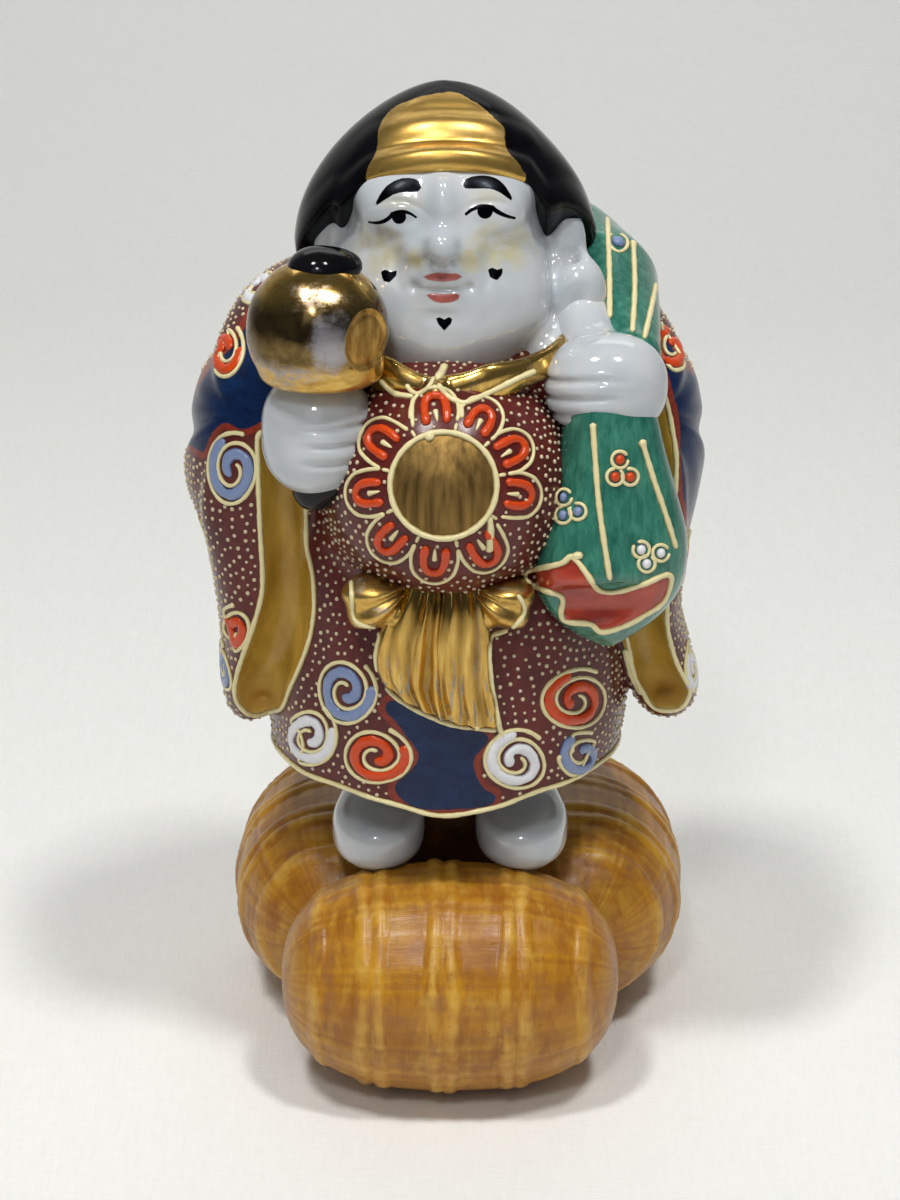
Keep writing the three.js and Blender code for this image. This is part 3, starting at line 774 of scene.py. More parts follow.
def rope_at(x, angle, seed):
    """Height of the ropes over the straw: three doubles and a single rope near either end, laid unevenly."""
    draw = np.random.default_rng(seed)
    half = ROPE_PITCH / 2
    height = np.zeros_like(x)
    doubles = [middle + side * half for middle in ROPE_BANDS for side in (-1, 1)]
    for place in (*doubles, -END_ROPE, END_ROPE):
        sway = draw.uniform(0, 6.28, 3)
        middle = place + 0.35 * np.sin(3 * angle + sway[0]) + 0.2 * np.sin(7 * angle + sway[1])
        full = 0.72 + 0.16 * np.sin(5 * angle + sway[2]) + 0.1 * np.sin(11 * angle + sway[0])
        height = np.maximum(height, full * np.maximum(1 - ((x - middle) / half) ** 2, 0) ** 0.8)
    return height * ROPE_PROUD


def straw_ridges(x, angle, seed):
    """Straw lies along the bale in faint uneven ridges."""
    draw = np.random.default_rng(seed)
    height = np.zeros_like(x)
    for count in (23, 37, 52, 71):
        phase, sway, pace = draw.uniform(0, 6.28), draw.uniform(0.3, 0.9), draw.uniform(0.05, 0.12)
        wave = np.cos(count * angle + phase + sway * np.sin(pace * x + phase))
        height += wave * (0.6 + 0.4 * np.sin(0.11 * x * sway + 3 * angle + phase))
    return height / 4


def bale_mesh(x, y, turn, seed):
    """A bale as rings of points about its axis, closed by a point at either end."""
    half = BALE_LENGTH / 2
    ease = np.linspace(-1, 1, BALE_RINGS)[1:-1]
    ring = half * np.sign(ease) * (1 - (1 - np.abs(ease)) ** 1.35)
    angles = np.linspace(0, 2 * math.pi, BALE_SPOKES, endpoint=False)
    u, a = [g.ravel() for g in np.meshgrid(ring, angles, indexing="ij")]
    ropes = rope_at(u, a, seed)
    ridge = straw_ridges(u, a, seed)
    thin = np.clip(straw_at(u) / BALE_RADIUS, 0, 1)
    radius = straw_at(u) + ropes + 0.42 * ridge * thin * (1 - 0.6 * ropes)
    points = np.stack([u, radius * np.sin(a), radius * np.cos(a)], 1)
    lie = np.concatenate([points, [[-half, 0, 0], [half, 0, 0]]]) + seed * 40
    points = np.concatenate([points, [[-half, 0, 0], [half, 0, 0]]])
    rows, cols = len(ring), len(angles)
    index = np.arange(rows * cols).reshape(rows, cols)
    onward = np.roll(index, -1, 1)
    quads = np.stack([index[:-1], onward[:-1], onward[1:], index[1:]], -1).reshape(-1, 4)
    first = [(rows * cols, onward[0, k], index[0, k]) for k in range(cols)]
    last = [(rows * cols + 1, index[-1, k], onward[-1, k]) for k in range(cols)]
    points = points @ np.array(Matrix.Rotation(math.radians(turn), 3, "Z")).T + [x, y, BALE_AXIS]
    points[:, 2] = np.maximum(points[:, 2], BALE_FLAT)
    height = np.concatenate([ropes * 0.8 + ridge * 0.5, [0, 0]])
    marks_here = {"height": height, "lie_x": lie[:, 0], "lie_y": lie[:, 1], "lie_z": lie[:, 2]}
    return points, quads.tolist() + first + last, marks_here


# Each ridge of the sash: its place across the tail and its width, as shares of the tail's width.
SASH_RIDGES = (
    (0.03, 0.055), (0.18, 0.075), (0.36, 0.05), (0.5, 0.04), (0.635, 0.065), (0.8, 0.055), (0.95, 0.05),
)
SASH_BOW = 3.0
SASH_THICKNESS = 8
SASH_GRID = (56, 120)


def sash_tail_mesh():
    """The pleated tail of the sash, from under the knot to its slanting end, closed behind."""
    rows, cols = SASH_GRID
    down = np.linspace(0, 1, rows)
    table = np.array([[i / 4, *left, *right, front] for i, (left, right, front) in enumerate(sash_rows)])
    across = np.linspace(0, 1, cols)
    lx, lz, rx, rz, front = along(table, down).T
    x = lx[:, None] + (rx - lx)[:, None] * across
    z = lz[:, None] + (rz - lz)[:, None] * across
    z -= SASH_BOW * (4 * across * (1 - across))[None] * ((1 - down) ** 2)[:, None]
    ridge = np.zeros((rows, cols))
    for n, (place, wide) in enumerate(SASH_RIDGES):
        sway = 0.012 * np.sin(5 * down + 2 * n) + 0.006 * np.sin(13 * down + n)
        full = 0.9 + 0.25 * np.sin(4 * down + 3 * n)
        off = (across[None] - place - sway[:, None]) / wide
        ridge = np.maximum(ridge, full[:, None] * np.exp(-np.abs(off) ** 1.6))
    small = 0.1 * np.cos(40 * across[None] + 2 * np.sin(6 * down)[:, None]) * (1 - ridge)
    depth = (1 - 0.3 * down)[:, None]
    edge = 32 * (across - 0.5) ** 4
    y = front[:, None] + edge + depth * (1 - 2 * ridge + small)
    face = np.stack([x, y, z], -1)
    back = face.copy()
    back[..., 1] = front[:, None] + SASH_THICKNESS
    return *grid_shell(face, back), np.concatenate([ridge.ravel(), ridge.ravel()])


def grid_shell(face, back):
    """A closed shell from a grid of points and the same grid moved back."""
    rows, cols = face.shape[:2]
    index = np.arange(rows * cols).reshape(rows, cols)
    behind = index + rows * cols
    quads = [np.stack([index[:-1, :-1], index[:-1, 1:], index[1:, 1:], index[1:, :-1]], -1).reshape(-1, 4)]
    behind_corners = [behind[:-1, :-1], behind[1:, :-1], behind[1:, 1:], behind[:-1, 1:]]
    quads.append(np.stack(behind_corners, -1).reshape(-1, 4))
    for side, reverse in ((index[0], False), (index[-1], True), (index[:, 0], True), (index[:, -1], False)):
        strip = np.stack([side[:-1], side[:-1] + rows * cols, side[1:] + rows * cols, side[1:]], -1)
        quads.append(strip[:, ::-1] if reverse else strip)
    return np.concatenate([face.reshape(-1, 3), back.reshape(-1, 3)]), np.concatenate(quads)


# Painted areas. Each is a mark on the points of a skin: how far inside the area a point lies, in millimetres.

GOLD_ON_CAP = [
    (-17.7, 109.6), (-17.7, 113.4), (-15.1, 118.2), (-9.8, 121.1), (-3.4, 122.7), (1.4, 122.9), (6.1, 120.6),
    (10.4, 117.1), (13.4, 113.9), (13.6, 109.6), (17.6, 104.3), (18.4, 101.2), (12.5, 99), (4.0, 100),
    (-4.5, 100), (-12.9, 99), (-20.6, 101.2),
]
FOREHEAD = [
    (-19.8, 112), (-19.8, 104.5), (-26.5, 92.9), (-42, 92.9), (-42, 40), (42, 40), (42, 92.4), (24.3, 92),
    (22.5, 96.9), (17.6, 102.2), (17.6, 112),
]
BROWS = [
    [(-18.6, 94.7), (-17.7, 96.9), (-16.1, 99.4), (-13.8, 101.2), (-11.2, 102), (-8.6, 101.8), (-7.2, 100.8),
     (-7.1, 99.3), (-8, 98.5), (-11, 98.5), (-13.5, 98.1), (-15.6, 96.9), (-17.4, 95.7)],
    [(3, 100.6), (4, 101.8), (6.1, 102.5), (8.6, 102.6), (11.2, 102), (13.3, 100.3), (14.8, 98), (15.5, 96.3),
     (14, 97.2), (12, 98.6), (9.7, 99.4), (6.8, 99.4), (4, 99.4), (3.1, 99.9)],
]
LIPS = [
    [(-6.7, 77.8), (-4.4, 78.6), (-1.8, 78.9), (-0.2, 78.4), (1.2, 78.8), (2.9, 78.1), (2.6, 77.3),
     (0.4, 76.7), (-2.4, 76.6), (-5, 76.9)],
    [(-5.9, 73.4), (-3.6, 73.8), (-1.2, 73.5), (1, 73.8), (2.6, 73.2), (1.6, 71.9),
     (-0.8, 71.4), (-3.6, 71.6)],
]
MARKS = [
    [(-16.9, 79), (-15.9, 79.6), (-14.5, 79), (-12.9, 79.4), (-13.3, 77.9), (-14.9, 76.4), (-16.4, 76.8)],
    [(9.3, 79.5), (10.3, 80.1), (11.5, 79.5), (13, 79.9), (12.7, 78.3), (11.5, 76.9), (9.8, 77.7)],
    [(-3.4, 67.6), (-2.4, 67.9), (-1.4, 67.3), (-0.4, 67.9), (0.6, 67.6), (0.3, 66.4),
     (-1.4, 64.6), (-2.9, 66.2)],
]
NAVY_BELOW_SASH = [
    (-15.4, -26.5), (-11.3, -26.3), (-4, -30.6), (2.3, -32.9), (9.1, -34.2), (8.7, -37), (6, -39.7),
    (6, -43.3), (8.2, -47.4), (11.4, -49.6), (9.1, -51.9), (-0.4, -52.8), (-8.1, -52.4), (-12.6, -49.6),
    (-13.5, -46.9), (-9.9, -43.3), (-7.6, -39.7), (-9.5, -36.5), (-13.5, -31), (-15.8, -28.8),
]
NAVY_ON_MALLET_SLEEVE = [
    (-43, 78), (-48.7, 69), (-52.2, 61.8), (-58.6, 55.6), (-64, 46), (-66, 39), (-62, 35.6), (-60.3, 34.9),
    (-58.4, 39.4), (-55, 42.1), (-50.8, 40.3), (-46, 42.5), (-41, 46), (-41, 60),
]
NAVY_ON_SACK_SLEEVE = [
    (53.2, 63), (56.2, 56.8), (61.5, 52.6), (66, 50), (66, 18), (60.5, 15.5), (57.6, 22), (56.6, 32),
    (56, 44), (53, 56),
]
SACK_MOUTH = [
    (18.7, 5.7), (22.3, 6.4), (27.7, 7.7), (29.6, 9.4), (31.6, 7.6), (34.2, 4), (36.2, 1.3), (40.2, 0.6),
    (47.3, 2.5), (53.2, 4.9), (54.1, 3.2), (52.2, -1.9), (47.3, -5.3), (42.1, -8.0), (36.8, -9.2),
    (34.6, -7.4), (28.4, -6.6), (27.2, -4.4), (27.4, -0.6), (22.3, 1.3), (18.6, 3.4),
]
MEDALLION = (-1.6, 26.7)
MEDALLION_RADIUS = 12.8


def any_of(outlines, spots, smooth=True):
    """How far inside the nearest of some outlines each spot lies."""
    return np.max([within(outline, spots, smooth) for outline in outlines], axis=0)


marks = {name: {} for name in skins}

cap_points = skins["cap"][0]
marks["cap"]["gold"] = np.minimum(within(GOLD_ON_CAP, FRONT.laid_out(cap_points)), 8 - cap_points[:, 1])

mallet_points = skins["mallet"][0]
marks["mallet"]["up"] = mallet_points[:, 2] - MALLET[2]
along_barrel = (mallet_points - MALLET) @ MALLET_WAY
from_barrel = np.sqrt(np.maximum(((mallet_points - MALLET) ** 2).sum(1) - along_barrel**2, 0))
marks["mallet"]["disc"] = np.minimum(along_barrel - MALLET_HALF + 1.5, MALLET_END - 0.2 - from_barrel)
marks["mallet"]["across"] = FRONT.laid_out(mallet_points)[:, 0] + 30.4

head_points = skins["head"][0]
spots = FRONT.laid_out(head_points)
marks["head"] = {
    "across": spots[:, 0],
    "up": spots[:, 1],
    "black": np.maximum(
        np.maximum(any_of(BROWS, spots), any_of(MARKS, spots, smooth=False)),
        -within(FOREHEAD, spots, smooth=False),
    ),
    "lips": any_of(LIPS, spots),
}

robe_points, robe_quads = skins["robe"]
spots = FRONT.laid_out(robe_points)
x, y, z = robe_points.T
lining = 0.8 - np.minimum(mallet_mouth(robe_points), sack_mouth_of_sleeve(robe_points))
below_sash = np.minimum(within(NAVY_BELOW_SASH, spots), -y - 20)
wavy = 2.5 * np.sin(0.22 * z) + 1.2 * np.sin(0.5 * z + 1)
mallet_navy = np.minimum(within(NAVY_ON_MALLET_SLEEVE, spots), 15 + wavy - y)
sack_navy = np.minimum(within(NAVY_ON_SACK_SLEEVE, spots), 15 - wavy - y)
border = 5 + 3 * np.sin(0.3 * x + 0.5) + 1.5 * np.sin(0.11 * x * x / 9)
back_navy = np.minimum(border - np.abs(z - 34), y - 10)
navy = np.max([below_sash, mallet_navy, sack_navy, back_navy - 4], axis=0)
medallion = MEDALLION_RADIUS - np.hypot(*(spots - MEDALLION).T)
marks["robe"] = {
    "lining": lining,
    "navy": navy,
    "medallion": np.minimum(medallion, -y - 35),
    "under": 0.2 - np.minimum(over_hem(robe_points), inside_skirt(robe_points) - 0.8),
}
sack_points = skins["sack"][0]
marks["sack"]["mouth"] = np.minimum(within(SACK_MOUTH, FRONT.laid_out(sack_points)), -sack_points[:, 1] - 34)


# Raised enamel, trailed on from a fine nozzle: rounded lines that lie on the skins. Their points are a step
# apart. A bead's height is a share of its width, and edges shorter than the shortest get no line.

STEP = 0.6
TRAIL_SIDES = 8
BEAD_SIDES = 9
BEAD_HEIGHT = 0.75
SHORTEST_EDGE = 20.0
CURL_TURNS = 2.1
SMALL_CURL = 6.3


def tree_of(names):
    """The named skins together, to lay lines on."""
    points, faces, start = [], [], 0
    for name in names:
        p, f = skins[name]
        points.append(p)
        faces += (np.asarray(f) + start).tolist()
        start += len(p)
    return BVHTree.FromPolygons(np.concatenate(points).tolist(), faces)


*sash_tail, ridges = map(np.asarray, sash_tail_mesh())
skins["sash_tail"] = tuple(sash_tail)
marks["sash_tail"] = {"ridge": ridges, "down": -sash_tail[0][:, 2]}
worn = tree_of(["robe", "sack", "sash_tail", "sash_loops", "collar", "mallet_fist", "sack_fist"])
cloth_only = tree_of(["robe"])
enamel = {"cream": [], "orange": [], "blue": [], "white": []}
taken = []


def unit(vectors):
    """The same directions, one long."""
    return vectors / np.maximum(np.linalg.norm(vectors, axis=-1, keepdims=True), 1e-9)


def evened(values, width, closed):
    """Each row evened out with its neighbours over that many rows."""
    half = min(width // 2, (len(values) - 1) // 2)
    if half < 1:
        return values
    if closed:
        pad = np.concatenate([values[-half:], values, values[:half]])
    else:
        pad = np.pad(values, ((half, half), (0, 0)), mode="edge")
    return np.mean([pad[i : i + len(values)] for i in range(2 * half + 1)], axis=0)


def settled(line, skin_tree, closed=False):
    """A line laid on the skin, and its facings, both evened out."""
    for _ in range(2):
        hits = [skin_tree.find_nearest(Vector(p)) for p in line]
        line = evened(np.array([h[0] for h in hits]), 5, closed)
    return line, unit(evened(np.array([h[1] for h in hits]), 7, closed))


def trail(colour, line, facing, width, closed=False, blob=0.0, tail=0.0, proud=0.5):
    """A trailed line as a rounded ridge. It may start in a blob and thin out towards its end."""
    count = len(line)
    if count < 4:
        return
    onward = unit(np.roll(line, -1, 0) - np.roll(line, 1, 0) if closed else np.gradient(line, axis=0))
    side = unit(np.cross(onward, facing))
    gone = np.concatenate([[0], np.cumsum(np.linalg.norm(np.diff(line, axis=0), axis=1))])
    wave = rng.uniform(0, 6.28, 3)
    size = 1 + 0.07 * np.sin(gone * 0.9 + wave[0]) + 0.05 * np.sin(gone * 2.3 + wave[1])
    if not closed:
        end = np.clip(np.minimum(gone, gone[-1] - gone) / (width * 0.5), 0, 1)
        size *= (1 + blob * np.exp(-((gone / width / 0.8) ** 2))) * (1 - tail * gone / max(gone[-1], 1e-9))
        size *= np.sqrt(np.clip(end * (2 - end), 0.04, 1))
    around = np.linspace(0, 2 * math.pi, TRAIL_SIDES, endpoint=False)
    wide = np.cos(around)[None, :, None] * side[:, None] * (width / 2 * size)[:, None, None]
    lift = np.where(np.sin(around) > 0, np.sin(around) * proud, np.sin(around) * 0.3)
    high = lift[None, :, None] * facing[:, None] * (width * size**0.7)[:, None, None]
    points = (line[:, None] + wide + high).reshape(-1, 3)
    crest = np.tile(np.clip(np.sin(around), 0, 1), count)
    index = np.arange(count * TRAIL_SIDES).reshape(count, TRAIL_SIDES)
    if closed:
        index = np.concatenate([index, index[:1]])
    onto_next = np.roll(index, -1, 1)
    quads = np.stack([index[:-1], index[1:], onto_next[1:], onto_next[:-1]], -1).reshape(-1, 4).tolist()
    if not closed:
        points = np.concatenate([points, line[:1], line[-1:]])
        crest = np.concatenate([crest, [0.5, 0.5]])
        first = count * TRAIL_SIDES
        for k in range(TRAIL_SIDES):
            j = (k + 1) % TRAIL_SIDES
            quads += [[first, index[0, k], index[0, j]], [first + 1, index[-1, j], index[-1, k]]]
    enamel[colour].append((points, quads, crest))
    taken.extend(line[::2].tolist())


def bead(colour, seat, out, width):
    """A round drop of enamel: a top, three rings and a foot."""
    across = unit(np.cross(out, [0.31, 0.17, 0.93]))
    up = np.cross(out, across)
    points, crest = [seat + out * width * BEAD_HEIGHT / 2], [1.0]
    for level in (55, 20, -15):
        c, s = math.cos(math.radians(level)), math.sin(math.radians(level))
        for k in range(BEAD_SIDES):
            a = 2 * math.pi * k / BEAD_SIDES
            aside = (across * math.cos(a) + up * math.sin(a)) * c * width / 2
            points.append(seat + aside + out * s * width * BEAD_HEIGHT / 2)
            crest.append(max(s, 0.0))
    points.append(seat - out * width * 0.3)
    crest.append(0.0)
    faces = []
    for k in range(BEAD_SIDES):
        j = (k + 1) % BEAD_SIDES
        faces.append([0, 1 + k, 1 + j])
        for upper in (1, 1 + BEAD_SIDES):
            lower = upper + BEAD_SIDES
            faces.append([upper + k, lower + k, lower + j, upper + j])
        lowest_ring = 1 + 2 * BEAD_SIDES
        faces.append([len(points) - 1, lowest_ring + j, lowest_ring + k])
    enamel[colour].append((np.array(points), faces, np.array(crest)))
    taken.append(list(seat))


def drawn(colour, sheet, corners, width, closed=False, **more):
    """A line laid out on a sheet and trailed onto whatever is under it, in runs where the skins part."""
    outline = flowing(corners, STEP, closed)
    line, facing = sheet.onto(worn, outline[: -1 if closed else None])
    if len(line) < 4:
        return
    breaks = [] if closed else np.flatnonzero(np.linalg.norm(np.diff(line, axis=0), axis=1) > 3.5) + 1
    for run in np.split(np.arange(len(line)), breaks):
        run_line = evened(line[run], 3, closed)
        trail(colour, run_line, unit(evened(facing[run], 7, closed)), width, closed, **more)


def edge_lines(points, quads, value):
    """The closed lines on a skin along which a mark passes through zero."""
    quads = np.asarray(quads)
    triangles = np.concatenate([quads[:, [0, 1, 2]], quads[:, [0, 2, 3]]])
    side = value[triangles] > 0
    crossed = np.flatnonzero(side.any(1) & ~side.all(1))
    next_to = {}
    for corners, inside in zip(triangles[crossed].tolist(), side[crossed].tolist()):
        ends = [
            (min(corners[k], corners[k - 1]), max(corners[k], corners[k - 1]))
            for k in range(3)
            if inside[k] != inside[k - 1]
        ]
        next_to.setdefault(ends[0], []).append(ends[1])
        next_to.setdefault(ends[1], []).append(ends[0])
    lines, seen = [], set()
    for start in next_to:
        if start in seen:
            continue
        ring, here = [], start
        while here is not None:
            seen.add(here)
            ring.append(here)
            here = next((other for other in next_to[here] if other not in seen), None)
        a, b = np.array(ring).T
        share = (value[a] / (value[a] - value[b]))[:, None]
        ring_points = evened(points[a] + (points[b] - points[a]) * share, 5, True)
        ring_points = spaced(np.concatenate([ring_points, ring_points[:1]]), STEP)[:-1]
        if len(ring_points) * STEP > SHORTEST_EDGE:
            lines.append(ring_points)
    return lines


def wound_in(rounds):
    """How far in a curl has wound, in pitches: hardly at all in its first turn, then steadily."""
    return np.where(rounds < 0.9, 0.35 * rounds, rounds - 0.585)


def curl(colour, sheet, tree, spot, radii, turn=60, hand=1):
    """A cloud curl: a cream ring that winds inwards, with a thicker coloured line between its turns."""
    seat = sheet.onto(tree, [spot])[0][0]
    wide, high = radii
    size = (wide + high) / 2
    turns = CURL_TURNS - 0.35 * (size < SMALL_CURL)
    pitch = size / (turns - 0.45)
    sway = rng.uniform(0, 6.28, 2)
    for hue, first, last, width, proud, blob in (
        ("cream", 0.0, turns, min(1.15, 0.3 * pitch), 0.55, 0.3),
        (colour, 0.12, turns - 0.5, min(3.1, 0.74 * pitch), 0.26, 0.0),
    ):
        rounds = np.linspace(first, last, int(math.pi * size * (last - first) / STEP))
        angle = math.radians(turn) + hand * 2 * math.pi * rounds
        inward = wound_in(rounds) if hue == "cream" else (wound_in(rounds) + wound_in(rounds + 1)) / 2
        reach = size + pitch * (0.1 - inward)
        reach = reach * (1 + 0.05 * np.sin(2 * angle + sway[0]) + 0.03 * np.sin(3 * angle + sway[1])) / size
        flat = np.stack([reach * np.cos(angle) * wide, reach * np.sin(angle) * high], 1)
        line = []
        for a, b in flat:
            found = sheet.onto(tree, [(spot[0] + a, spot[1] + b)])[0]
            if len(found) and abs((found[0] - seat) @ sheet.towards) < 1.3 * size:
                line.append(found[0])
            else:
                beside = seat + sheet.across * a * 0.8 + sheet.up * b
                line.append(np.array(tree.find_nearest(Vector(beside))[0]))
        line, facing = settled(spaced(evened(np.array(line), 3, False), STEP), tree)
        trail(hue, line, facing, width, blob=blob, tail=0.1, proud=proud)
        for share in (0.35, 0.6, 0.8):
            taken.extend((seat + (line[::3] - seat) * share).tolist())


# Edges: the sleeves' mouths and the hem.
for value, keep in ((lining, None), (over_hem(robe_points) - 1.1, "hem")):
    for ring in edge_lines(robe_points, robe_quads, value):
        if keep == "hem" and np.mean(inside_skirt(ring)) < 1.5:
            continue
        line, facing = settled(ring, cloth_only, True)
        trail("cream", line, facing, 1.35, closed=True, proud=0.55)

# The medallion on the belly, with nine petals round it, each in a scallop.
mx, my = MEDALLION
RING_RADIUS = 13.0
round_ring = np.linspace(0, 2 * math.pi, 24, endpoint=False)
ring = [(mx + RING_RADIUS * math.cos(a), my + RING_RADIUS * math.sin(a)) for a in round_ring]
drawn("cream", FRONT, ring, 1.45, closed=True, proud=0.6)
drawn("cream", FRONT, [(-6.4, 38.4), (-5.2, 38.5), (-3.6, 38.9)], 2.5, proud=0.45)
drawn("cream", FRONT, [(9.6, 19.4), (9.9, 16.5), (9.8, 13), (9.5, 10.2)], 1.5, tail=-0.5)
PETALS = (96, 60, 27, -7, -57.5, -97, -134.5, -174, -215.5)
PETAL_TIP = np.radians([60, 30, 0, -30, -60])
for n, turn in enumerate(PETALS):
    a = math.radians(turn)
    before = (PETALS[n - 1] - turn) % 360 / 2
    after = (turn - PETALS[(n + 1) % len(PETALS)]) % 360 / 2
    wide, long = 2.65 + 0.2 * math.sin(5 * n), 0.35 * math.cos(3 * n)

    def spot(out, side, a=a):
        return (mx + out * math.cos(a) - side * math.sin(a), my + out * math.sin(a) + side * math.cos(a))

    def ray(out, degrees):
        return spot(out * math.cos(math.radians(degrees)), out * math.sin(math.radians(degrees)))

    bend = [spot(14.8, wide * 0.95), spot(17, wide), spot(19 + long, wide)]
    bend += [spot(19.2 + long + wide * math.cos(b), wide * math.sin(b)) for b in PETAL_TIP]
    bend += [spot(19 + long, -wide), spot(17, -wide), spot(14.9, -wide * 0.85)]
    drawn("orange", FRONT, bend, 2.15, proud=0.42)
    drawn("cream", FRONT, [spot(18.9, 0.1), spot(17.6, 0), spot(15.4, -0.2)], 1.35, blob=0.3, tail=0.55)
    left, right = [min(5.8, 18.4 * math.sin(math.radians(gap))) for gap in (before, after)]
    arc = [ray(15.8, min(before, 22)), spot(18.0, left)]
    for b in np.radians(range(65, -66, -13)):
        arc.append(spot(18.8 + 5.3 * math.cos(b), (left if b > 0 else right) * math.sin(b)))
    arc += [spot(18.0, -right), ray(15.8, -min(after, 22))]
    drawn("cream", FRONT, arc, 1.0, proud=0.5)
    drawn("cream", FRONT, [ray(15.8, before), ray(13.4, before)], 0.9, proud=0.45)

# The collar's edge, and the slip that ran down from it.
for width, corners in (
    (1.5, [(-17.3, 52.7), (-13.9, 49.3), (-11.1, 48.6), (-8.7, 48.3)]),
    (1.3, [(-10.8, 51.7), (-9.8, 50), (-7.7, 49), (-4.9, 51), (-3.9, 53.4)]),
    (1.5, [(-3.2, 51.7), (-0.8, 48.6), (2.6, 46.9), (5, 47.2), (10.9, 50), (17.1, 53.1), (21.2, 54.8)]),
    (1.2, [(-8.7, 48.3), (-9.3, 46.6), (-9.6, 44.6), (-9.6, 42.6)]),
    (1.2, [(2.7, 46.9), (2.9, 44.9), (2.9, 42.8)]),
    (2.4, [(-8.4, 56.5), (-8.9, 55.2), (-9.6, 53.6)]),
    (2.2, [(-1.2, 56.2), (-1.9, 54.4), (-3.2, 52.3)]),
):
    drawn("cream", FRONT, corners, width)

# The sash's edge.
drawn("cream", FRONT, [
    (-24.2, 3.5), (-23.9, -1.5), (-23.3, -6.2), (-21.1, -7.6), (-18.1, -8.1), (-17.2, -10.1), (-17.9, -13.1),
    (-18.1, -16.4), (-17.2, -20.3), (-14.5, -24.1), (-10.1, -27.4), (-5.7, -29.6), (-1.8, -31.3),
    (3.7, -32.6), (11.7, -33.3),
], 1.3)
drawn("cream", FRONT, [
    (16.3, 0.1), (18.0, -2.6), (17.7, -5.4), (15.2, -8.1), (11.9, -9.5), (10.2, -10.1), (9.6, -13.6),
    (9.7, -17.5), (10.2, -22.5), (11.2, -28), (12, -32.4), (13.2, -35.6),
], 1.3, tail=-0.2)

# Curls over the robe.
for colour, spot, radii, turn, hand in (
    ("blue", (-53.0, 30.6), (6.6, 8.6), 60, 1),
    ("white", (-47.1, 75.6), (6.0, 5.4), 100, 1),
    ("orange", (-55.0, 59.8), (4.6, 6.6), 60, -1),
    ("orange", (-52.9, -8.6), (4.4, 6.0), 80, 1),
    ("white", (-34.4, -34.8), (6.6, 7.6), 70, -1),
    ("blue", (-25.5, -23.6), (7.5, 8.0), 60, -1),
    ("orange", (-18.1, -39.5), (8.2, 7.2), 75, -1),
    ("orange", (30.8, -25.9), (8.2, 7.6), 50, 1),
    ("white", (16.3, -40.8), (8.3, 7.1), 40, 1),
    ("blue", (32.3, -39.5), (6.0, 5.9), 60, 1),
    ("orange", (54.6, 60.2), (4.4, 6.2), 60, 1),
):
    curl(colour, FRONT, worn, spot, radii, turn, hand)
for colour, sheet, spot, radius in (
    ("orange", BACK, (-18, -26), 8.0),
    ("blue", BACK, (4, -18), 7.6),
    ("white", BACK, (24, -30), 7.4),
    ("orange", BACK, (40, 6), 7.0),
    ("white", BACK, (-44, 14), 7.0),
    ("blue", BACK, (43, 40), 7.0),
    ("white", MALLET_SIDE, (6, 10), 7.0),
    ("blue", MALLET_SIDE, (14, -20), 6.8),
    ("orange", SACK_SIDE, (-4, 6), 7.2),
    ("white", SACK_SIDE, (-12, -22), 6.6),
):
    curl(colour, sheet, cloth_only, spot, (radius, radius))

# The sack: stripes, its mouth's edge, and berries in threes.
for corners in (
    [(35, 42.2), (35.4, 36), (36.6, 21), (39.2, 3.2)],
    [(46.8, 38.1), (49.7, 28.5), (52.7, 19.7), (55.4, 11)],
    [(38.5, 93), (39, 80), (39.2, 67.4)],
    [(44.8, 86.6), (45.2, 75), (44.6, 62.8)],
    [(50.4, 76.2), (49, 69), (47.5, 62.4)],
):
    drawn("cream", FRONT, corners, 1.5, blob=0.5)
drawn("cream", FRONT, SACK_MOUTH, 1.5, closed=True)
drawn("cream", FRONT, [(29.8, 8.6), (31.6, 9.7), (32.4, 8.6)], 2.0)


def berries(colour, sheet, spot, flip=1.0, lean=0.0):
    """Three beads, each in a cream loop."""
    for n, (dx, dy) in enumerate(((-0.6, 3.0), (-1.8, -1.2), (1.9, -1.2))):
        c, s = math.cos(lean), math.sin(lean)
        x, y = spot[0] + (dx * c - dy * s) * flip, spot[1] + dx * s + dy * c
        loop = [(x + 2.1 * math.cos(a), y + 2.1 * math.sin(a)) for a in np.linspace(0.4 + n, 6.4 + n, 10)]
        drawn("cream", sheet, loop, 0.9)
        seats, outs = sheet.onto(worn, [(x, y)])
        if len(seats):
            bead(colour, seats[0], outs[0], 2.5)


berries("orange", FRONT, (42.2, 30.0))
berries("blue", FRONT, (29.2, 21), 1.0, 0.25)
berries("white", FRONT, (48.6, 9.6), -1.0, 1.2)
top_loop = [(39.8, 88.6), (38.7, 86.8), (39.6, 84.8), (41.6, 83.8), (43.4, 85.2), (43.2, 87.2), (41.4, 88.4)]
drawn("cream", FRONT, top_loop, 1.0)
bead("blue", *[found[0] for found in FRONT.onto(worn, [(41.1, 86.2)])], 3.7)
for corners in (
    [(-36, 92), (-41, 72), (-43, 52), (-39, 34)],
    [(-26, 96), (-27, 74), (-25.5, 50), (-23, 27)],
    [(-16, 93), (-11, 74), (-8, 54), (-9, 37)],
):
    drawn("cream", BACK, corners, 1.6, blob=0.5)
for colour, spot in (
    ("orange", (-34, 61)),
    ("blue", (-17, 69)),
    ("white", (-32, 39)),
    ("orange", (-15.5, 43)),
):
    berries(colour, BACK, spot)


def enamel_piece(runs):
    """All the trails and drops of one colour as one piece."""
    start, faces = 0, []
    for points, run_faces, _ in runs:
        faces += [[i + start for i in face] for face in run_faces]
        start += len(points)
    return np.concatenate([r[0] for r in runs]), faces, np.concatenate([r[2] for r in runs])


# Finishes.


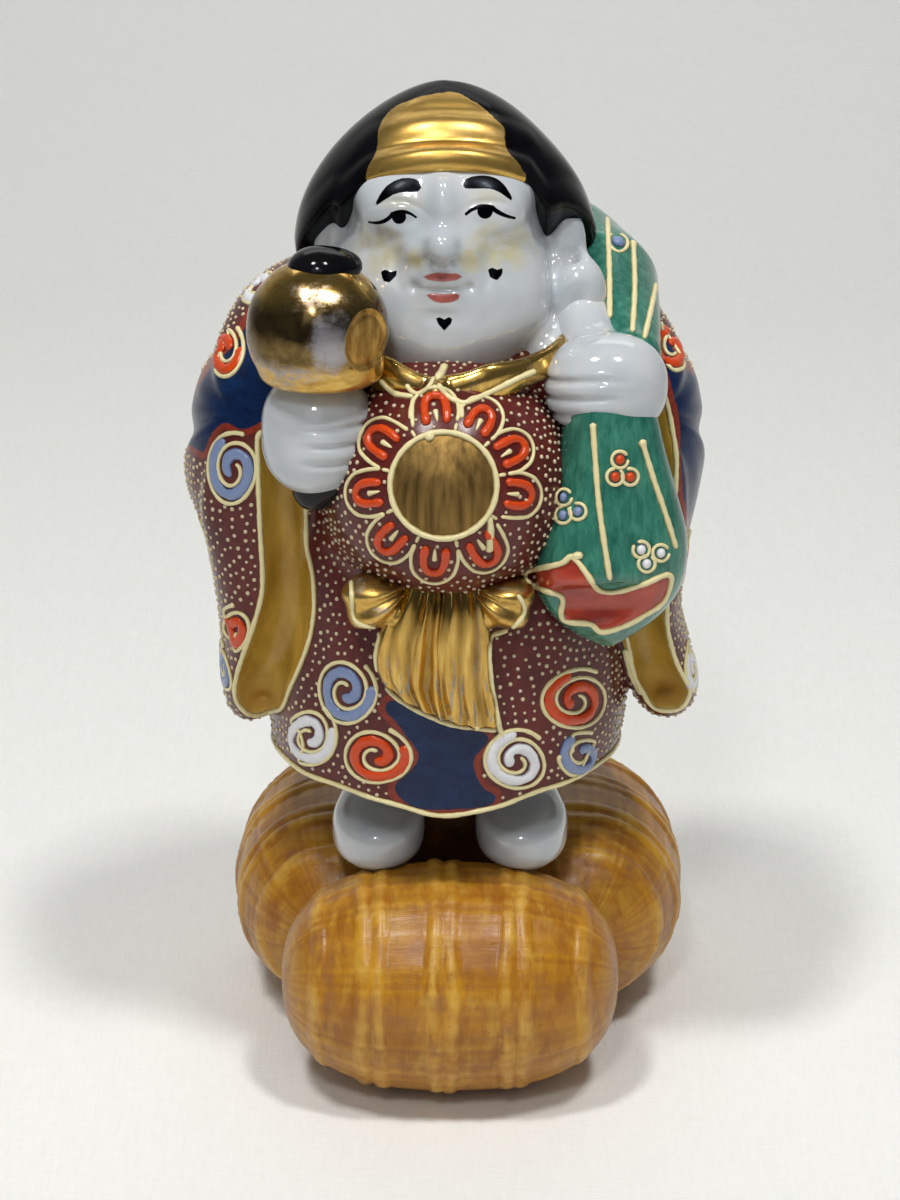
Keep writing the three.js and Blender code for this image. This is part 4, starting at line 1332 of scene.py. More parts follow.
class Value:
    """A number that varies over a surface. Ordinary arithmetic on it adds the nodes that work it out."""

    def __init__(self, finish, socket):
        self.finish, self.socket = finish, socket

    def math(self, operation, *numbers, clamp=False):
        settings = {"operation": operation, "use_clamp": clamp}
        node = self.finish.node("ShaderNodeMath", settings, dict(enumerate(numbers)))
        return Value(self.finish, node.outputs[0])

    def __add__(self, other):
        return self.math("ADD", self, other)

    def __sub__(self, other):
        return self.math("SUBTRACT", self, other)

    def __rsub__(self, other):
        return self.math("SUBTRACT", other, self)

    def __mul__(self, other):
        return self.math("MULTIPLY", self, other)

    def __truediv__(self, other):
        return self.math("DIVIDE", self, other)

    def __rtruediv__(self, other):
        return self.math("DIVIDE", other, self)

    def __pow__(self, other):
        return self.math("POWER", self, other)

    __radd__, __rmul__ = __add__, __mul__

    def clamped(self):
        return self.math("ADD", self, 0.0, clamp=True)

    def least(self, other):
        return self.math("MINIMUM", self, other)

    def most(self, other):
        return self.math("MAXIMUM", self, other)

    def inside(self, soft=0.12):
        """1 where the number is above zero and 0 below, over a soft edge of that width."""
        return self.math("MULTIPLY_ADD", self, 1 / soft, 0.5, clamp=True)

    def ramp(self, low, high):
        """0 at and below low, 1 at and above high."""
        return self.math("MULTIPLY_ADD", self, 1 / (high - low), -low / (high - low), clamp=True)


def new_node(tree, kind, settings=None, inputs=None):
    """A node of a tree, with its settings first and then the values or links of its sockets."""
    made = tree.nodes.new(kind)
    for key, value in (settings or {}).items():
        setattr(made, key, value)
    for key, value in (inputs or {}).items():
        source = getattr(value, "socket", value)
        if isinstance(source, bpy.types.NodeSocket):
            tree.links.new(source, made.inputs[key])
        else:
            made.inputs[key].default_value = source
    return made


class Finish:
    """A material for one of the ornament's glazes, paints or metals, built on the standard surface."""

    def __init__(self, name, lies_by=None, **surface):
        self.material = bpy.data.materials.new(name)
        self.material.use_nodes = True
        self.tree = self.material.node_tree
        self.surface = self.tree.nodes["Principled BSDF"]
        for key, value in surface.items():
            self.surface.inputs[key.replace("_", " ").title().replace("Ior", "IOR")].default_value = value
        if lies_by:
            parts = dict(enumerate(self.mark(mark) for mark in lies_by))
            self.place = self.node("ShaderNodeCombineXYZ", {}, parts).outputs["Vector"]
        else:
            place = self.node("ShaderNodeTexCoord").outputs["Object"]
            self.place = self.vector("SCALE", place, scale=1 / MM)

    def node(self, kind, settings=None, inputs=None):
        return new_node(self.tree, kind, settings, inputs)

    def vector(self, operation, *vectors, scale=None):
        inputs = dict(enumerate(vectors))
        if scale is not None:
            inputs["Scale"] = scale
        return self.node("ShaderNodeVectorMath", {"operation": operation}, inputs).outputs[0]

    def mark(self, name):
        """The number that the points of a mesh carry under that name."""
        node = self.node("ShaderNodeAttribute", {"attribute_name": name})
        return Value(self, node.outputs["Fac"])

    def above_floor(self):
        """Height over the floor in millimetres."""
        return Value(self, self.node("ShaderNodeSeparateXYZ", {}, {0: self.place}).outputs["Z"])

    def noise(self, size, detail=3.0, rough=0.55, stretch=(1, 1, 1), shift=0.0, bend=0.0):
        """An uneven pattern between 0 and 1 with features about that many millimetres across."""
        scale = tuple(1 / (size * s) for s in stretch)
        place = self.vector("MULTIPLY", self.place, scale)
        place = self.vector("ADD", place, (shift, shift * 0.7, shift * 1.3))
        inputs = {"Vector": place, "Scale": 1.0, "Detail": detail, "Roughness": rough, "Distortion": bend}
        return Value(self, self.node("ShaderNodeTexNoise", {}, inputs).outputs["Fac"])

    def cells(self, size):
        """Distance from the nearest of many scattered spots, which are about that many millimetres apart."""
        place = self.vector("MULTIPLY", self.place, (1 / size,) * 3)
        node = self.node("ShaderNodeTexVoronoi", {"feature": "F1"}, {"Vector": place, "Scale": 1.0})
        return Value(self, node.outputs["Distance"])

    def blend(self, factor, first, second):
        """A colour that goes from the first to the second as the factor goes from 0 to 1."""
        node = self.node("ShaderNodeMix", {"data_type": "RGBA"}, {0: factor, 6: first, 7: second})
        return node.outputs[2]

    def colour(self, value):
        """Gives the surface its colour."""
        self.tree.links.new(value, self.surface.inputs["Base Color"])

    def feeds(self, socket, value):
        """Lets a value set one of the surface's inputs."""
        self.tree.links.new(value.socket, self.surface.inputs[socket])

    def relief(self, *heights):
        """Fine relief from heights in millimetres."""
        total = heights[0]
        for height in heights[1:]:
            total = total + height
        bump_node = self.node("ShaderNodeBump", {}, {"Strength": 1.0, "Distance": MM, "Height": total})
        self.tree.links.new(bump_node.outputs["Normal"], self.surface.inputs["Normal"])


def tint(red, green, blue):
    """A colour from its everyday values out of 255."""
    parts = [c / 255 for c in (red, green, blue)]
    return (*[c / 12.92 if c <= 0.04045 else ((c + 0.055) / 1.055) ** 2.4 for c in parts], 1.0)


def glaze_ripple(f, depth=0.02):
    """The faint unevenness of a thick glaze."""
    return f.noise(4.5, 2.0) * depth + f.noise(1.3, 1.0, shift=5.0) * depth * 0.25


def white_glaze(f):
    """Cool white glaze, a little greyer where it lies thick, with a few specks."""
    cloud = f.noise(14, 3.0).ramp(0.35, 0.7)
    white = f.blend(cloud, tint(196, 200, 203), tint(178, 185, 191))
    warm = f.noise(9, 2.0, shift=11.0).ramp(0.55, 0.85) * 0.35
    white = f.blend(warm, white, tint(214, 210, 200))
    speck = (0.06 - f.cells(2.6)).inside(0.02) * f.noise(7, 1.0, shift=3.0).ramp(0.6, 0.7) * 0.5
    return f.blend(speck, white, tint(120, 110, 96))


def porcelain():
    """White glaze alone, for the hands and the boots."""
    f = Finish("white_glaze", roughness=0.1, coat_weight=0.6, coat_roughness=0.03)
    f.colour(white_glaze(f))
    f.feeds("Roughness", f.noise(6, 2.0, shift=2.0) * 0.1 + 0.07)
    f.relief(glaze_ripple(f))
    return f.material


def stroke(u, v, start, end, bend, thick):
    """How far inside a painted stroke a spot lies: from start to end, bowed, thick at each end as given."""
    (x0, y0), (x1, y1) = start, end
    length = math.hypot(x1 - x0, y1 - y0)
    cos, sin = (x1 - x0) / length, (y1 - y0) / length
    t = ((u - x0) * cos + (v - y0) * sin) / length
    held = t.clamped()
    off = (v - y0) * cos - (u - x0) * sin - held * (1 - held) * (4 * bend)
    past = (t - held) * length
    return held * (thick[1] - thick[0]) + thick[0] - (off * off + past * past) ** 0.5


def painted_face():
    """White glaze with eyes, brows, hair and tufts of beard in black, red lips, brownish stains and painted
    shade over the upper lids.
    """
    f = Finish("painted_face", roughness=0.1, coat_weight=0.6, coat_roughness=0.03)
    u, v = f.mark("across"), f.mark("up")
    white = white_glaze(f)
    stain = 0.0
    stains = ((-17.5, 84.5, 7, 7.5), (12.5, 85, 10, 7.5), (5, 81.5, 3.5, 3.5), (-8.5, 82, 3, 3.5))
    for x, y, wide, high in stains:
        gap = ((u - x) / wide) ** 2.0 + ((v - y) / high) ** 2.0
        stain = (1.0 - gap).clamped() + stain
    mottle = f.noise(6, 3.0, 0.5, shift=21.0).ramp(0.32, 0.56)
    white = f.blend((stain * mottle).clamped() * 0.9, white, tint(190, 181, 140))
    dark_spots = f.noise(2.6, 3.0, 0.6, shift=23.0).ramp(0.55, 0.75)
    white = f.blend((stain * dark_spots).clamped() * 0.3, white, tint(150, 136, 96))
    # Painted shade over the upper lids, under the brows.
    painted_lid_shade = [1 - ((u - x) / 7) ** 2.0 - ((v - y) / 2.6) ** 2.0 for x, y in ((-12, 96), (9.5, 97.5))]
    white = f.blend(painted_lid_shade[0].most(painted_lid_shade[1]).clamped() * 0.45, white, tint(186, 176, 146))
    lines = [
        ((-19.8, 91.2), (-14.1, 93.1), -0.95, (0.3, 0.62)),
        ((-14.1, 93.1), (-8.4, 92.4), 0.95, (0.62, 0.3)),
        ((4.0, 93.2), (10.3, 94.7), 0.95, (0.4, 0.66)),
        ((10.3, 94.7), (15.8, 92.2), -0.4, (0.66, 0.34)),
    ]
    line = stroke(u, v, *lines[0])
    for more in lines[1:]:
        line = line.most(stroke(u, v, *more))
    for x, y, r, top in ((-12.5, 92.5, 1.75, 94.0), (8.6, 93.9, 1.9, 95.5)):
        pupil = r - ((u - x) ** 2.0 + (v - y) ** 2.0) ** 0.5
        line = line.most(pupil.least(top - v))
    wobble = f.noise(0.8, 2.0, shift=4.0) * 0.16 - 0.08
    black = (f.mark("black") + wobble).inside(0.16).most((line + wobble * 0.4).inside(0.08))
    lips = (f.mark("lips") + wobble * 1.5).inside(0.35)
    lip_red = f.blend(f.noise(1.6, 3.0, shift=8.0).ramp(0.3, 0.7), tint(170, 78, 62), tint(140, 52, 42))
    shade = f.blend(lips * 0.93, white, lip_red)
    ink = f.blend(f.noise(2.0, 2.0, shift=9.0), tint(9, 10, 12), tint(20, 22, 26))
    f.colour(f.blend(black, shade, ink))
    f.feeds("Metallic", black)
    f.feeds("Roughness", f.noise(6, 2.0, shift=2.0) * 0.1 + 0.07 + black * 0.16)
    f.feeds("Coat Weight", 0.6 - black * 0.58)
    f.relief(glaze_ripple(f), f.mark("black").inside(0.5) * 0.03)
    return f.material


def gold_on(f, strokes=(1, 1, 6), wear=1.0, shift=0.0, satin=0.14):
    """Bright gold lustre over brushed glaze, brown where it is worn: its colour, roughness and relief."""
    streak = f.noise(1.1, 3.0, 0.6, stretch=strokes, shift=shift + 1.0)
    patch = f.noise(8, 3.0, 0.55, shift=shift + 2.0)
    fine = f.noise(1.1, 3.0, 0.7, shift=shift + 3.0)
    gold = f.blend(streak.ramp(0.3, 0.7), tint(216, 180, 100), tint(190, 150, 76))
    worn = (patch.ramp(0.46, 0.72) * streak.ramp(0.35, 0.65)).clamped() * (0.6 * wear)
    gold = f.blend(worn, gold, tint(120, 88, 48))
    haze = f.noise(7, 4.0, 0.6, stretch=strokes, shift=shift + 7.0).ramp(0.57, 0.68) * fine.ramp(0.3, 0.6)
    haze = (haze * (0.7 * wear)).clamped()
    gold = f.blend(haze, gold, tint(168, 164, 166))
    rough = streak * 0.1 + worn * 0.1 + haze * 0.3 + satin
    return gold, rough, streak * 0.02 + fine * 0.006


def gold_lustre(name, strokes=(1, 1, 6), wear=1.0, shift=0.0, satin=0.14):
    """Gold lustre with nothing else on it."""
    f = Finish(name, metallic=1.0)
    gold, rough, height = gold_on(f, strokes, wear, shift, satin)
    f.colour(gold)
    f.feeds("Roughness", rough)
    f.relief(height, glaze_ripple(f))
    return f.material


def mallet_finish():
    """Gold like a dark mirror with a silver haze, and satin low down where the barrel ends in a ledge. A band
    across its middle is a painted dark reflection.
    """
    f = Finish("mallet_lustre", metallic=1.0)
    gold, rough, height = gold_on(f, (3, 3, 1), 1.5, 70.0, 0.09)
    up, across = f.mark("up"), f.mark("across")
    edge = f.noise(6, 3.0, 0.6, shift=72.0) * 5 - 2.5
    low = (-5.5 - up + edge).inside(2.5)
    # Painted dark reflection: a dark brown band across the barrel's middle, with bright gold left above and
    # below it.
    painted_dark_reflection = f.blend(f.noise(5, 3.0, 0.6, shift=74.0).ramp(0.35, 0.65), tint(128, 106, 66), tint(86, 70, 44))
    gold = f.blend((1.0 - low) * (8.5 - up + edge).inside(4.0), gold, painted_dark_reflection)
    around = (across - 1.0) ** 2.0 / 40 + (up - 0.5) ** 2.0 / 72
    haze = (1.0 - around + f.noise(3.4, 4.0, 0.7, shift=76.0) * 1.6 - 0.8).ramp(0.1, 0.9) * 0.85
    disc = f.mark("disc").inside(0.4)
    strokes = f.noise(2.4, 3.0, 0.6, stretch=(1, 1, 3), shift=78.0).ramp(0.35, 0.65)
    brushed = f.blend(strokes, tint(216, 176, 98), tint(150, 110, 52))
    gold = f.blend(haze, gold, tint(172, 170, 176))
    f.colour(f.blend(disc, gold, brushed))
    f.feeds("Roughness", rough + low * 0.16 + haze * 0.3 + disc * 0.25)
    f.relief(height, glaze_ripple(f))
    return f.material


def sash_finish():
    """Gold over deep pleats: painted shade in the grooves and painted shadow under the belly, bright on
    ridges, silvery low down.
    """
    f = Finish("sash_lustre", metallic=1.0)
    gold, rough, height = gold_on(f, (1.6, 1.6, 9), 0.8, 90.0, 0.13)
    ridge, down = f.mark("ridge"), f.mark("down")
    uneven = f.noise(3, 3.0, 0.6, stretch=(1, 1, 3), shift=92.0)
    # Painted shade: darker gold in the grooves between the pleats.
    groove = (0.55 - ridge + uneven * 0.5 - 0.25).ramp(0.0, 0.5)
    gold = f.blend(groove * 0.75, gold, tint(112, 82, 36))
    # Painted shadow: darker gold at the top of the tail, under the belly.
    gold = f.blend((down + 72 + uneven * 8 - 4).ramp(4, -6) * 0.6, gold, tint(96, 70, 32))
    silver = f.noise(1.6, 3.0, 0.6, stretch=(1, 1, 6), shift=94.0).ramp(0.56, 0.62) * (down + 66).ramp(0, 8)
    gold = f.blend(silver * 0.8, gold, tint(150, 148, 150))
    f.colour(gold)
    f.feeds("Roughness", rough + groove * 0.1 + silver * 0.25)
    f.relief(height, glaze_ripple(f))
    return f.material


def black_glaze_on(f):
    """Black glaze: its colour and its roughness."""
    cloud = f.noise(9, 3.0, shift=6.0)
    black = f.blend(cloud.ramp(0.35, 0.75), tint(8, 8, 10), tint(18, 18, 21))
    return black, f.noise(3, 3.0, shift=16.0) * 0.1 + 0.05


def black_glaze():
    """Black glaze with nothing else on it."""
    f = Finish("black_glaze", ior=1.3)
    black, rough = black_glaze_on(f)
    f.colour(black)
    f.feeds("Roughness", rough)
    f.relief(glaze_ripple(f, 0.03))
    return f.material


def cap_finish():
    """Black glaze with a patch of gold over the brow."""
    f = Finish("cap_glaze", ior=1.14)
    black, black_rough = black_glaze_on(f)
    gold, gold_rough, height = gold_on(f, (5, 1, 1), 0.5, 30.0, 0.3)
    ragged = (f.mark("gold") + f.noise(2.2, 3.0, shift=9.0) * 0.9 - 0.45).inside(0.2)
    f.colour(f.blend(ragged, black, gold))
    f.feeds("Metallic", ragged)
    f.feeds("Roughness", ragged * (gold_rough - black_rough) + black_rough)
    f.relief(glaze_ripple(f, 0.03), height * ragged, ragged * 0.03)
    return f.material


def robe_finish():
    """Maroon enamel with navy panels edged in rust, ochre linings with painted light towards their lower
    ends, and a gold disc on the belly.
    """
    f = Finish("robe_enamel", ior=1.36)
    thick = f.noise(12, 4.0, 0.6, stretch=(1, 1, 1.8))
    fine = f.noise(1.6, 3.0, 0.6, shift=12.0)
    maroon = f.blend(thick.ramp(0.3, 0.7), tint(98, 36, 32), tint(70, 28, 28))
    maroon = f.blend(fine.ramp(0.45, 0.8) * 0.4, maroon, tint(116, 50, 42))
    brushed = f.noise(2.4, 4.0, 0.65, stretch=(2.5, 2.5, 1), shift=31.0, bend=0.6)
    navy_tone = f.blend(brushed.ramp(0.35, 0.75), tint(4, 26, 62), tint(14, 46, 90))
    navy_tone = f.blend(f.noise(11, 2.0, shift=14.0).ramp(0.4, 0.75) * 0.6, navy_tone, tint(10, 24, 54))
    flow = f.noise(7, 3.0, 0.5, stretch=(1, 1, 3), shift=41.0).ramp(0.3, 0.7)
    ochre = f.blend(flow, tint(190, 152, 62), tint(152, 116, 38))
    ochre = f.blend(fine.ramp(0.5, 0.8) * 0.25, ochre, tint(206, 166, 92))
    # Painted light: the linings turn pale towards their lower ends, lifting them out of the shade of the
    # sleeve mouths.
    ochre = f.blend(f.above_floor().ramp(103, 90) * 0.75, ochre, tint(246, 212, 124))
    rust = f.blend(fine.ramp(0.3, 0.7), tint(142, 52, 32), tint(112, 40, 28))
    ragged = f.noise(3, 3.0, shift=17.0) * 1.2 - 0.6
    navy = f.mark("navy") + ragged * 0.6
    lining = f.mark("lining").inside(0.3)
    gold_here = f.mark("medallion").inside(0.2)
    base = f.blend((navy + 1.5 + ragged).inside(0.4), maroon, rust)
    base = f.blend(navy.inside(0.3), base, navy_tone)
    base = f.blend(f.mark("under").inside(0.5), base, tint(158, 150, 140))
    base = f.blend(lining, base, ochre)
    _, gold_rough, height = gold_on(f, (1, 1, 7), 1.1, 50.0, 0.3)
    scraped = f.noise(1.8, 2.0, stretch=(1, 1, 12), shift=55.0).ramp(0.3, 0.7)
    gold = f.blend(scraped, tint(150, 120, 66), tint(92, 70, 38))
    f.colour(f.blend(gold_here, base, gold))
    f.feeds("Metallic", gold_here * 0.85)
    rough = fine * 0.16 + 0.16
    f.feeds("Roughness", gold_here * (gold_rough + 0.12 - rough) + rough)
    f.relief(glaze_ripple(f, 0.04), fine * 0.02, brushed * navy.inside(0.3) * 0.04, height * gold_here)
    return f.material


def sack_finish():
    """Green enamel, brushed lengthwise and thin on the ridges, with a red mouth."""
    f = Finish("sack_enamel", coat_weight=0.3, coat_roughness=0.07)
    brushed = f.noise(1.7, 4.0, 0.65, stretch=(1, 1, 5), bend=0.4)
    cloud = f.noise(9, 3.0, shift=3.0)
    green = f.blend(brushed.ramp(0.32, 0.72), tint(30, 98, 82), tint(72, 142, 120))
    green = f.blend(cloud.ramp(0.42, 0.75) * 0.6, green, tint(16, 76, 68))
    daubed = f.noise(4, 3.0, stretch=(2, 1, 1), shift=8.0).ramp(0.3, 0.7)
    red = f.blend(daubed, tint(184, 70, 46), tint(144, 44, 34))
    mouth = f.mark("mouth").inside(0.3)
    f.colour(f.blend(mouth, green, red))
    f.feeds("Roughness", brushed * 0.14 + 0.12)
    f.relief(glaze_ripple(f, 0.04), brushed * 0.05)
    return f.material


def bale_finish():
    """Amber glaze that runs thin on the straw and the ropes and pools brown in the grooves, where the brown
    is also painted shade.
    """
    f = Finish("bale_glaze", ("lie_x", "lie_y", "lie_z"), ior=1.4, coat_weight=0.08, coat_roughness=0.2)
    height = f.mark("height")
    cloud = f.noise(15, 4.0, 0.6)
    blotch = f.noise(4.0, 4.0, 0.6, stretch=(1, 2.6, 2.6), shift=15.0, bend=0.3)
    run = f.noise(3.4, 4.0, 0.6, stretch=(1, 4, 4), shift=45.0, bend=0.4)
    amber = f.blend(cloud.ramp(0.32, 0.68), tint(198, 142, 32), tint(162, 104, 20))
    amber = f.blend(run.ramp(0.46, 0.68) * 0.75, amber, tint(142, 82, 16))
    amber = f.blend(blotch.ramp(0.5, 0.68) * 0.6, amber, tint(200, 158, 62))
    # Darker brown in the grooves: glaze pooling there, and also painted shade beside the ropes.
    amber = f.blend(height.ramp(0.2, -0.4) * 0.7, amber, tint(128, 72, 20))
    amber = f.blend(height.ramp(0.35, 0.85) * blotch.ramp(0.2, 0.5) * 0.65, amber, tint(214, 170, 78))
    pool = f.noise(9, 3.0, 0.6, shift=25.0).ramp(0.52, 0.66) * blotch.ramp(0.6, 0.4) * 0.6
    amber = f.blend(pool, amber, tint(138, 92, 62))
    drip = f.noise(3.2, 3.0, 0.6, stretch=(1, 2.4, 2.4), shift=65.0).ramp(0.6, 0.76) * 0.55
    amber = f.blend(drip, amber, tint(136, 74, 22))
    speck = (0.07 - f.cells(4.2)).inside(0.03) * 0.4
    f.colour(f.blend(speck, amber, tint(104, 60, 28)))
    f.feeds("Roughness", blotch * 0.16 + 0.27)
    straw = f.noise(1.0, 3.0, 0.6, stretch=(7, 1, 1), shift=33.0)
    f.relief(glaze_ripple(f, 0.05), straw * 0.14)
    return f.material


def core_shade_finish():
    """Dark brown glaze, painted as the shade in the gap between the boots and the bales."""
    f = Finish("core_painted_shade", coat_weight=0.3, coat_roughness=0.08)
    brown = f.blend(f.noise(8, 3.0).ramp(0.3, 0.7), tint(96, 58, 24), tint(56, 34, 18))
    f.colour(brown)
    f.feeds("Roughness", f.noise(3, 3.0, shift=3.0) * 0.2 + 0.14)
    f.relief(glaze_ripple(f, 0.06))
    return f.material


def enamel_finish(name, high, low):
    """Raised enamel, paler on its crest and darker where it runs thin at its edges."""
    f = Finish(name, ior=1.4, coat_weight=0.1, coat_roughness=0.06)
    crest = f.mark("crest")
    fine = f.noise(1.2, 3.0, 0.6)
    shade = f.blend((crest + fine * 0.5 - 0.25).ramp(0.0, 0.7), low, high)
    f.colour(f.blend(f.noise(0.5, 2.0, shift=6.0).ramp(0.62, 0.8) * 0.25, shade, low))
    f.feeds("Roughness", fine * 0.18 + 0.16)
    f.relief(fine * 0.05)
    return f.material


def floor_finish():
    """Pale woven cloth."""
    f = Finish("floor_cloth", roughness=0.9)
    warp = f.noise(0.9, 2.0, 0.6, stretch=(9, 0.8, 1))
    weft = f.noise(0.9, 2.0, 0.6, stretch=(0.8, 9, 1), shift=5.0)
    weave = warp * 0.5 + weft * 0.5
    cloth = f.blend(weave.ramp(0.3, 0.7), tint(236, 236, 232), tint(246, 246, 243))
    f.colour(f.blend(f.noise(160, 3.0).ramp(0.3, 0.7) * 0.4, cloth, tint(238, 238, 236)))
    f.relief(weave * 0.35)
    return f.material


# The pieces.

white_glazed = porcelain()
black_glazed = black_glaze()
gold_plain = gold_lustre("gold_lustre", (1, 1, 5), 0.9)
finishes = {
    "cap": (cap_finish(), "glazed_porcelain"),
    "head": (painted_face(), "glazed_porcelain"),
    "mallet": (mallet_finish(), "gold_lustre"),
    "handle_top": (black_glazed, "glazed_porcelain"),
    "handle_foot": (black_glazed, "glazed_porcelain"),
    "robe": (robe_finish(), "glazed_porcelain"),
    "collar": (gold_plain, "gold_lustre"),
    # The loops carry heavier worn brown, which also stands in as painted shade under the belly.
    "sash_loops": (gold_lustre("loop_lustre", (2, 1, 1), 1.6, 110.0, 0.27), "gold_lustre"),
    "sash_tail": (sash_finish(), "gold_lustre"),
    "sack": (sack_finish(), "glazed_porcelain"),
    "core": (core_shade_finish(), "glazed_porcelain"),
}
made = {}
for name, (points, quads) in skins.items():
    finish, slot = finishes.get(name, (white_glazed, "glazed_porcelain"))
    made[name] = made_mesh(name, points, quads, marks[name])
    belongs(made[name], finish, slot)

bale_glaze = bale_finish()
for name, (x, y, turn) in BALES.items():
    points, faces, bale_marks = bale_mesh(x, y, turn, len(name))
    belongs(made_mesh("bale_" + name, points, faces, bale_marks), bale_glaze, "glazed_porcelain")

enamels = {
    "cream": enamel_finish("cream_enamel", tint(226, 214, 164), tint(164, 146, 92)),
    "orange": enamel_finish("orange_enamel", tint(204, 68, 20), tint(144, 36, 8)),
    "blue": enamel_finish("blue_enamel", tint(124, 140, 178), tint(66, 80, 122)),
    "white": enamel_finish("white_enamel", tint(222, 222, 226), tint(150, 146, 156)),
}
for colour, runs in enamel.items():
    points, faces, crest = enamel_piece(runs)
    belongs(made_mesh("enamel_" + colour, points, faces, {"crest": crest}), enamels[colour], "raised_enamel")


# Dots, in millimetres, and how many a square metre are tried before those too close together are dropped.
DOT_SPACING = 1.9
DOT_WIDTH = 1.12
DOT_SEED = 3
DOTS_TRIED = 3e6
CLEAR_OF_TRAILS = 1.15
CLEAR_OF_AREAS = 1.2


def dot_tree(finish):
    """Drops of enamel scattered over a mesh where its mark leaves them room."""
    tree = bpy.data.node_groups.new("beads", "GeometryNodeTree")
    for name, kind, value in (
        ("Geometry", "NodeSocketGeometry", None),
        ("Spacing", "NodeSocketFloat", DOT_SPACING * MM),
        ("Width", "NodeSocketFloat", DOT_WIDTH * MM),
        ("Seed", "NodeSocketInt", DOT_SEED),
    ):
        socket = tree.interface.new_socket(name, in_out="INPUT", socket_type=kind)
        if value is not None:
            socket.default_value = value
    tree.interface.new_socket("Geometry", in_out="OUTPUT", socket_type="NodeSocketGeometry")

    def node(kind, settings=None, inputs=None):
        return new_node(tree, kind, settings, inputs)

    given = node("NodeGroupInput").outputs
    free = node("GeometryNodeInputNamedAttribute", {"data_type": "FLOAT"}, {"Name": "beads"})
    spots = node("GeometryNodeDistributePointsOnFaces", {"distribute_method": "POISSON"}, {
        "Mesh": given["Geometry"],
        "Distance Min": given["Spacing"],
        "Density Max": DOTS_TRIED,
        "Density Factor": free.outputs["Attribute"],
        "Seed": given["Seed"],
    })
    sphere = node("GeometryNodeMeshUVSphere", {}, {"Segments": 6, "Rings": 3, "Radius": 0.5}).outputs["Mesh"]
    smooth = node("GeometryNodeSetShadeSmooth", {}, {"Geometry": sphere}).outputs["Geometry"]
    vary = node("FunctionNodeRandomValue", {"data_type": "FLOAT"}, {2: 0.72, 3: 1.12, "Seed": 5}).outputs[1]
    size = node("ShaderNodeMath", {"operation": "MULTIPLY"}, {0: given["Width"], 1: vary}).outputs[0]
    flat = node("ShaderNodeMath", {"operation": "MULTIPLY"}, {0: size, 1: 0.8}).outputs[0]
    scale = node("ShaderNodeCombineXYZ", {}, {0: size, 1: size, 2: flat}).outputs[0]
    beads = node("GeometryNodeInstanceOnPoints", {}, {
        "Points": spots.outputs["Points"],
        "Instance": smooth,
        "Rotation": spots.outputs["Rotation"],
        "Scale": scale,
    }).outputs["Instances"]
    real = node("GeometryNodeRealizeInstances", {}, {"Geometry": beads}).outputs["Geometry"]
    coated = node("GeometryNodeSetMaterial", {}, {"Geometry": real, "Material": finish}).outputs["Geometry"]
    node("NodeGroupOutput", {}, {"Geometry": coated})
    return tree


near = KDTree(len(taken))
for n, place in enumerate(taken):
    near.insert(place, n)
near.balance()
gap = np.array([near.find(p)[2] for p in robe_points])
free = (gap > CLEAR_OF_TRAILS) & (navy < -CLEAR_OF_AREAS) & (lining < -CLEAR_OF_AREAS)
free &= marks["robe"]["medallion"] < -1.5
free &= (over_hem(robe_points) > 2.0) & (inside_skirt(robe_points) > 1.0)
robe_mesh = made["robe"].data
layer = robe_mesh.attributes.new("beads", "FLOAT", "POINT")
layer.data.foreach_set("value", free.astype(np.float32))

carrier = bpy.data.objects.new("beads_carrier", robe_mesh.copy())
bpy.context.scene.collection.objects.link(carrier)
bead_finish = enamel_finish("bead_enamel", tint(238, 228, 206), tint(206, 188, 158))
modifier = carrier.modifiers.new("beads", "NODES")
modifier.node_group = dot_tree(bead_finish)
names = {s.name: s.identifier for s in modifier.node_group.interface.items_tree if s.in_out == "INPUT"}
modifier[names["Spacing"]] = DOT_SPACING * MM
modifier[names["Width"]] = DOT_WIDTH * MM
modifier[names["Seed"]] = DOT_SEED
bpy.context.view_layer.update()
evaluated = carrier.evaluated_get(bpy.context.evaluated_depsgraph_get())
bead_mesh = bpy.data.meshes.new_from_object(evaluated)
bpy.data.objects.remove(carrier)
beads = bpy.data.objects.new("beads", bead_mesh)
bpy.context.scene.collection.objects.link(beads)
belongs(beads, bead_finish, "raised_enamel")


# The stage: a pale floor that sweeps up behind, soft lights and the camera.


FLOOR_FRONT = -2.5
FLOOR_SIDE = 3.0
SWEEP_FROM = 0.75
SWEEP_RADIUS = 0.5
BACKDROP_HEIGHT = 3.0
AMBIENT = 0.12
MIDDLE = (0, 0, 0.12)
BACKDROP = (0, 0.85, 0)

# Each light: its place, what it is aimed at, its size, its watts and its colour.
LIGHTS = {
    "overhead_left": ((-0.34, -0.42, 1.35), MIDDLE, (0.14, 0.2), 7.6, (1, 0.99, 0.97)),
    "overhead_right": ((0.36, -0.42, 1.35), MIDDLE, (0.14, 0.2), 7.6, (1, 0.99, 0.97)),
    "broad_front": ((-0.2, -1.6, 1.1), MIDDLE, (1.1, 0.7), 1.6, (0.98, 0.99, 1)),
    "front_glint": ((-0.12, -0.9, 0.95), MIDDLE, (0.12, 0.16), 2.6, (1, 1, 1)),
    "overhead_back": ((0, 1.0, 1.3), BACKDROP, (1.4, 0.5), 2.9, (1, 1, 0.99)),
}

# The photograph, in pixels: its height, its focal length, and the row that the line of sight meets.
FRAME_HEIGHT = 1200
FOCAL_LENGTH = 2857
SIGHT_ROW = 594.3
SENSOR = 36


